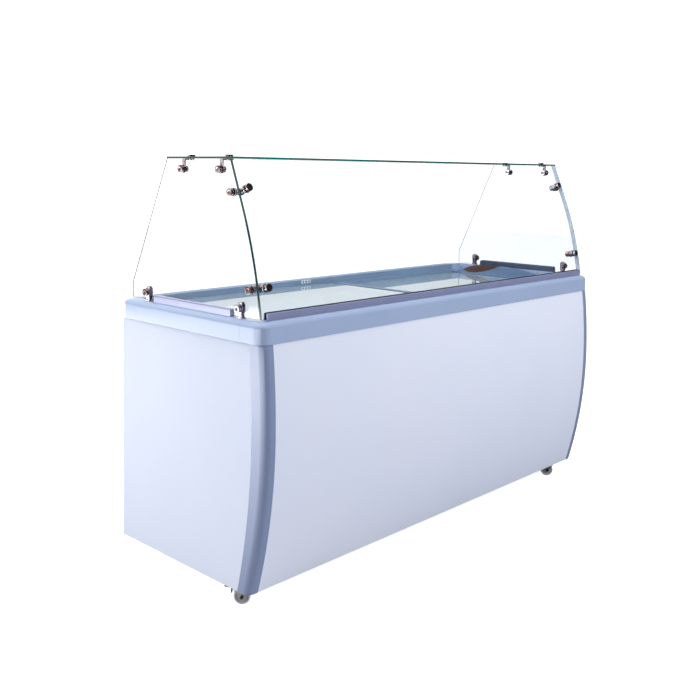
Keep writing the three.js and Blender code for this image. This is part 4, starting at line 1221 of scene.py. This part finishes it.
def build_brake(place):
    """The ribbed pedal on its pin, with a shoe that hangs down to the tyre."""
    x, z = BRAKE_X, BRAKE_Z
    outline = [(5, -4), (5, 4.5), (-8, 4), (-34, 6), (-37, 1), (-17, -3), (-16.5, -18), (-13.5, -18),
               (-10, -4)]
    outline = [(x + u * MM, z + v * MM) for u, v in outline]
    half = 6 * MM
    shape = Shape().add(across(fillet(outline, 1.6 * MM, 5), -half, half), 0, place)
    bore = Shape().add(rod(BRAKE_BORE_R, 40 * MM), 0, place @ aim((x, -20 * MM, z), (0, 1, 0)))
    made = piece("brake_pedal", shape, [BLACK], "brake", ["brake_lever"], less=bore,
                 edge=0.8 * MM)
    ribs = Shape()
    slope = Vector((-26, 2)).normalized()
    rise = Vector((slope.y, -slope.x))
    for i in range(5):
        foot = Vector((x - 12 * MM, z + 4.2 * MM)) + slope * (4.2 * MM * i)
        corners = [foot, foot + slope * 1.6 * MM, foot + (slope * 1.4 - rise * 0.7) * MM,
                   foot + (slope * 0.2 - rise * 0.7) * MM]
        ribs.add(across([tuple(c) for c in corners], -half + 1.5 * MM, half - 1.5 * MM), 0, place)
    merge_shape(made, ribs)


# ------------------------------------------------------------------ rear service side
def build_cover():
    """The service cover: a rounded plate with hooded slots, holes for the controls and the dial's ticks."""
    box = Box("vent_grille")
    control_x = Box("thermostat_knob").x
    knob_z = joint_place("thermostat_turn").z
    through = (box.y0 - 10 * MM, box.y1 + 10 * MM)
    slots = Shape()
    hoods = Shape()
    count = 12
    slot_x = (655 * MM, box.x1 - 25 * MM)
    for i in range(count):
        z = box.z0 + 25 * MM + i * (box.z1 - box.z0 - 50 * MM) / (count - 1)
        slot = rounded_rectangle(*slot_x, z - 3.5 * MM, z + 3.5 * MM, 3.4 * MM, 6)
        slots.add(prism(slot, *through), 0, ALONG_Y)
        hood = [(-0.4, 3.6), (2, 2), (2.6, 2.4), (-0.2, 6.4)]
        hood = [(box.y1 + y * MM, z + height * MM) for y, height in hood]
        hoods.add(prism(hood, slot_x[0] - MM, slot_x[1] + MM), 0, ALONG_X)
    for z, radius in ((knob_z, 4.5 * MM), (Box("cord_gland").z, 8 * MM)):
        slots.add(rod(radius, 30 * MM, 32), 0, aim((control_x, through[0], z), (0, 1, 0)))
    z = Box("power_switch").z
    slots.add(block(control_x - 8 * MM, control_x + 8 * MM, *through, z - 14 * MM, z + 14 * MM))
    plate = prism(rounded_rectangle(box.x0, box.x1, box.z0, box.z1, 7 * MM, 8), box.y0, box.y1)
    made = piece("service_cover", Shape().add(plate, 0, ALONG_Y), [COVER_LOOK, PLATE],
                 replaces=["vent_grille"], less=slots, edge=0.6 * MM)
    merge_shape(made, hoods)
    ticks = Shape()
    for i in range(10):
        turn = math.radians(225 - 30 * i)
        spot = (control_x - math.cos(turn) * 22 * MM, box.y1, knob_z + math.sin(turn) * 22 * MM)
        place = Matrix.Translation(spot) @ Matrix.Rotation(turn, 4, "Y")
        ticks.add(block(-2 * MM, 2 * MM, -0.2 * MM, 0.5 * MM, -0.5 * MM, 0.5 * MM), 0, place)
    piece("dial_ticks", ticks, [PLATE], edge=0.1 * MM)


def build_controls():
    """The thermostat dial with its pointer, and the gland where the cord enters."""
    dial = Box("thermostat_knob")
    pivot = joint_place("thermostat_turn")
    face = pivot.y + 0.1 * MM
    shape = Shape().add(knob(17.6 * MM, 4.4 * MM, 3 * MM), 0, aim((pivot.x, face, pivot.z), (0, 1, 0)))
    ridge = rounded_rectangle(pivot.x - 2.6 * MM, pivot.x + 2.6 * MM, pivot.z - 14 * MM, pivot.z + 16 * MM,
                              2.4 * MM, 6)
    shape.add(prism(ridge, face + 1 * MM, dial.y1), 0, ALONG_Y)
    shape.add(rod(3.5 * MM, 14 * MM), 0, aim((pivot.x, dial.y0, pivot.z), (0, 1, 0)))
    shape.add(block(pivot.x - 0.5 * MM, pivot.x + 0.5 * MM, dial.y1 - 0.3 * MM, dial.y1 + 0.1 * MM,
                    pivot.z + 6 * MM, pivot.z + 15 * MM), 1)
    piece("thermostat_dial", shape, [BLACK, PLATE], "thermostat", ["thermostat_knob"],
          edge=0.2 * MM)
    gland = Box("cord_gland")
    end = (gland.y1 - gland.y0) / MM
    profile = [(4, 0), (7, 0), (7, 15.8), (11, 15.9), (11, 18.4), (10, 19), (8.4, 19.2), (8.2, end - 0.4),
               (7.6, end), (4.6, end), (4, end - 0.6)]
    body = Shape().add(turned(profile, 40, closed=True), 0, aim((gland.x, gland.y0, gland.z), (0, 1, 0)))
    piece("cable_gland", body, [BLACK], replaces=["cord_gland"])


# ------------------------------------------------------------------ small pieces inside the rails
RAIL_PLATE_X = (-140 * MM, -92 * MM)
END_SCREW_Y = (-116 * MM, 130 * MM)


def build_rail_details():
    """A blank plate with three windows on the rear rail, and the brass screws of the end rails."""
    wall = MOUTH_REAR + 2 * TRACK_STEP
    z0, z1 = RAIL.z1 - 13 * MM, RAIL.z1 - 2 * MM
    x0, x1 = RAIL_PLATE_X
    outline = rounded_rectangle(x0, x1, z0, z1, 1.5 * MM, 4)
    plate = Shape().add(prism(outline, wall - 1 * MM, wall - GAP), 0, ALONG_Y)
    for i in range(3):
        left = x0 + (4 + 15 * i) * MM
        window = rounded_rectangle(left, left + 9 * MM, z0 + 2.5 * MM, z1 - 2.5 * MM, 0.8 * MM, 3)
        plate.add(prism(window, wall - 1.3 * MM, wall - 0.9 * MM), 1 if i else 2, ALONG_Y)
    piece("rail_plate", plate, [PLATE, BLACK, CHROME], edge=0.15 * MM)
    head = turned([(0, 0), (3.6, 0), (3.4, 0.6), (2.2, 1.4), (0.9, 1.6), (0.8, 0.9), (0, 0.8)], 24)
    screws = Shape()
    for side in SIDES.values():
        for y in END_SCREW_Y:
            screws.add(head, 0, aim((side * POCKET_X, y, RAIL.z1 - 7 * MM), (-side, 0, 0)))
    piece("end_rail_screws", screws, [BRASS])


# ------------------------------------------------------------------ carried-over CAD nodes
def dress_cad_nodes():
    """Gives a look to each CAD node that no piece replaces."""
    looks = {"rear_panel": PAINT, "inner_liner": LINER, "foam_insulation": FOAM, "base_pan": ZINC,
             "compressor": ENAMEL, "condenser": ALUMINIUM, "fan_blade": BLACK, "power_switch": BLACK}
    for node, look in looks.items():
        data = frame["nodes"][node].data
        data.materials.clear()
        data.materials.append(look)
        if node in ("compressor", "fan_blade"):
            data.shade_smooth()
            data.set_sharp_from_angle(angle=SHARP)


# ------------------------------------------------------------------ stage, lights and camera
FLOOR_COLOR = (184, 184, 190)
FLOOR_LIFT = 0.9                     # added where the camera sees the floor itself
FLOOR_GLOW = 6.0                     # how bright the floor looks to mirrors on the left-hand faces
GLOW_COMES, GLOW_GOES = (0.3, 3.1), (6.4, 5.8)    # metres to the left rear over which it rises and dies away
SEEN_WHITE = 1.45
# a direction, the cosines between which the light changes, and the strengths below and above them
BACKDROP = ((0.72, 0.69, 0.0), -0.75, 0.1, 0.22, 1.0)
SKY = ((-0.35, 0.1, 1.0), -0.2, 0.95, 0.62, 1.15)
MIRRORED = ((-0.2, 0.97, 0.1), -0.35, 0.6, 0.04, 1.1)
LEFT_WATTS, TOP_WATTS, FRONT_WATTS = 84, 45, 56


def build_floor():
    """A pale floor: evenly white to the camera, and glowing to the left rear where plastic mirrors it."""
    floor = bpy.data.objects.new("floor", bpy.data.meshes.new("floor"))
    bpy.context.scene.collection.objects.link(floor)
    reach = 14
    corners = [(-reach, -reach, 0), (reach, -reach, 0), (reach, reach, 0), (-reach, reach, 0)]
    floor.data.from_pydata(corners, [], [(0, 1, 2, 3)])
    look = Look("floor_white", FLOOR_COLOR, 0.7, Specular_IOR_Level=0.0)
    path = look.node("LightPath").outputs
    to_left = look.dot(look.place, (-0.72, 0.69, 0))
    glow = look.product(look.ranged(to_left, *GLOW_COMES), look.ranged(to_left, *GLOW_GOES))
    strength = look.ranged(glow, 0, 1, 0.1, FLOOR_GLOW)
    mirrored_floor = look.node("Emission", Color=(1, 1, 1, 1), Strength=strength).outputs[0]
    lift = look.node("Emission", Color=(1, 1, 1, 1), Strength=FLOOR_LIFT).outputs[0]
    lifted = look.node("AddShader")
    look.feed(lifted.inputs[0], look.shader.outputs[0])
    look.feed(lifted.inputs[1], lift)
    glossy = look.ranged(path["Glossy Depth"], 0, 1)
    soft = look.ranged(path["Diffuse Depth"], 0, 1)
    straight = look.product(look.ranged(glossy, 0, 1, 1, 0), look.ranged(soft, 0, 1, 1, 0))
    bounced = look.choose(glossy, look.shader.outputs[0], mirrored_floor)
    look.show(look.choose(straight, bounced, lifted.outputs[0]))
    look.bump(look.noise(40, 3), 0.02, 0.2 * MM)
    floor.data.materials.append(look.material)


def build_world():
    """A white studio: pure white where it is seen, soft where it lights, part dark where it is mirrored."""
    world = bpy.data.worlds.new("studio")
    world.use_nodes = True
    bpy.context.scene.world = world
    graph = Graph(world.node_tree)
    path = graph.node("LightPath").outputs
    direction = graph.node("TexCoord").outputs["Generated"]

    def toward(vector, low, high, dark, bright):
        cosine = graph.dot(direction, Vector(vector).normalized())
        return graph.ranged(cosine, low, high, dark, bright, smooth=True)

    def background(color, strength):
        return graph.node("Background", Color=(*color, 1), Strength=strength).outputs[0]

    lit = background((0.95, 0.975, 1.0), graph.product(toward(*BACKDROP), toward(*SKY)))
    mirrored_sky = background((1.0, 0.975, 0.96), toward(*MIRRORED))
    seen = background((1, 1, 1), SEEN_WHITE)
    glossy = graph.math("GREATER_THAN", path["Glossy Depth"], 0.5)
    bounces = graph.math("ADD", path["Glossy Depth"], path["Diffuse Depth"])
    bounced = graph.math("GREATER_THAN", bounces, 0.5)
    surface = graph.choose(bounced, seen, graph.choose(glossy, lit, mirrored_sky))
    graph.feed(graph.tree.nodes["World Output"].inputs["Surface"], surface)


def softbox(name, place, target, width, height, power):
    """A large soft lamp that no surface mirrors."""
    light = bpy.data.lights.new(name, "AREA")
    light.shape = "RECTANGLE"
    light.size, light.size_y = width, height
    light.energy = power
    lamp = bpy.data.objects.new(name, light)
    lamp.matrix_world = aim(place, Vector(place) - Vector(target))
    lamp.visible_glossy = False
    bpy.context.scene.collection.objects.link(lamp)


def build_lights():
    """Softboxes to the left rear, above, and in front on the right."""
    middle = Vector((0, 0, 0.7))
    softbox("softbox_left", (-3.6, 1.9, 2.4), middle, 1.6, 2.6, LEFT_WATTS)
    softbox("softbox_top", (-0.4, -0.6, 3.6), middle, 3.4, 1.6, TOP_WATTS)
    softbox("softbox_front", (0.9, -3.8, 1.9), middle, 1.2, 2.4, FRONT_WATTS)


def build_camera():
    """The view of the photograph: a long lens from the front left, a little above the lids."""
    place = Vector((-2.5267, -2.1795, 1.2774))
    yaw, pitch, roll = 0.8092, 0.0582, 0.0128
    forward = Vector((math.sin(yaw) * math.cos(pitch), math.cos(yaw) * math.cos(pitch), -math.sin(pitch)))
    right = Vector((math.cos(yaw), -math.sin(yaw), 0))
    up = right.cross(forward)
    across_image = math.cos(roll) * right + math.sin(roll) * up
    up_image = math.cos(roll) * up - math.sin(roll) * right
    data = bpy.data.cameras.new("camera")
    data.sensor_width = 36
    data.lens = 46.826
    data.shift_x = 0.0143
    data.shift_y = -0.1814
    camera = bpy.data.objects.new("camera", data)
    axes = Matrix((across_image, up_image, -forward)).transposed().to_4x4()
    camera.matrix_world = Matrix.Translation(place) @ axes
    bpy.context.scene.collection.objects.link(camera)
    bpy.context.scene.camera = camera


build_camera()
build_floor()
build_world()
build_lights()
build_cabinet()
build_back_screws()
build_rails()
build_rail_details()
for lid_name in LIDS:
    build_lid(lid_name)
build_guard()
build_channels()
for side_name in SIDES:
    for level_name in CORNER_CLAMP_Z:
        build_corner_clamp(level_name, side_name)
    for end_name in ENDS:
        build_top_clamp(end_name, side_name)
        build_base_clamp(end_name, side_name)
build_casters()
build_cover()
build_controls()
dress_cad_nodes()
bpy.context.scene.view_settings.view_transform = "Standard"
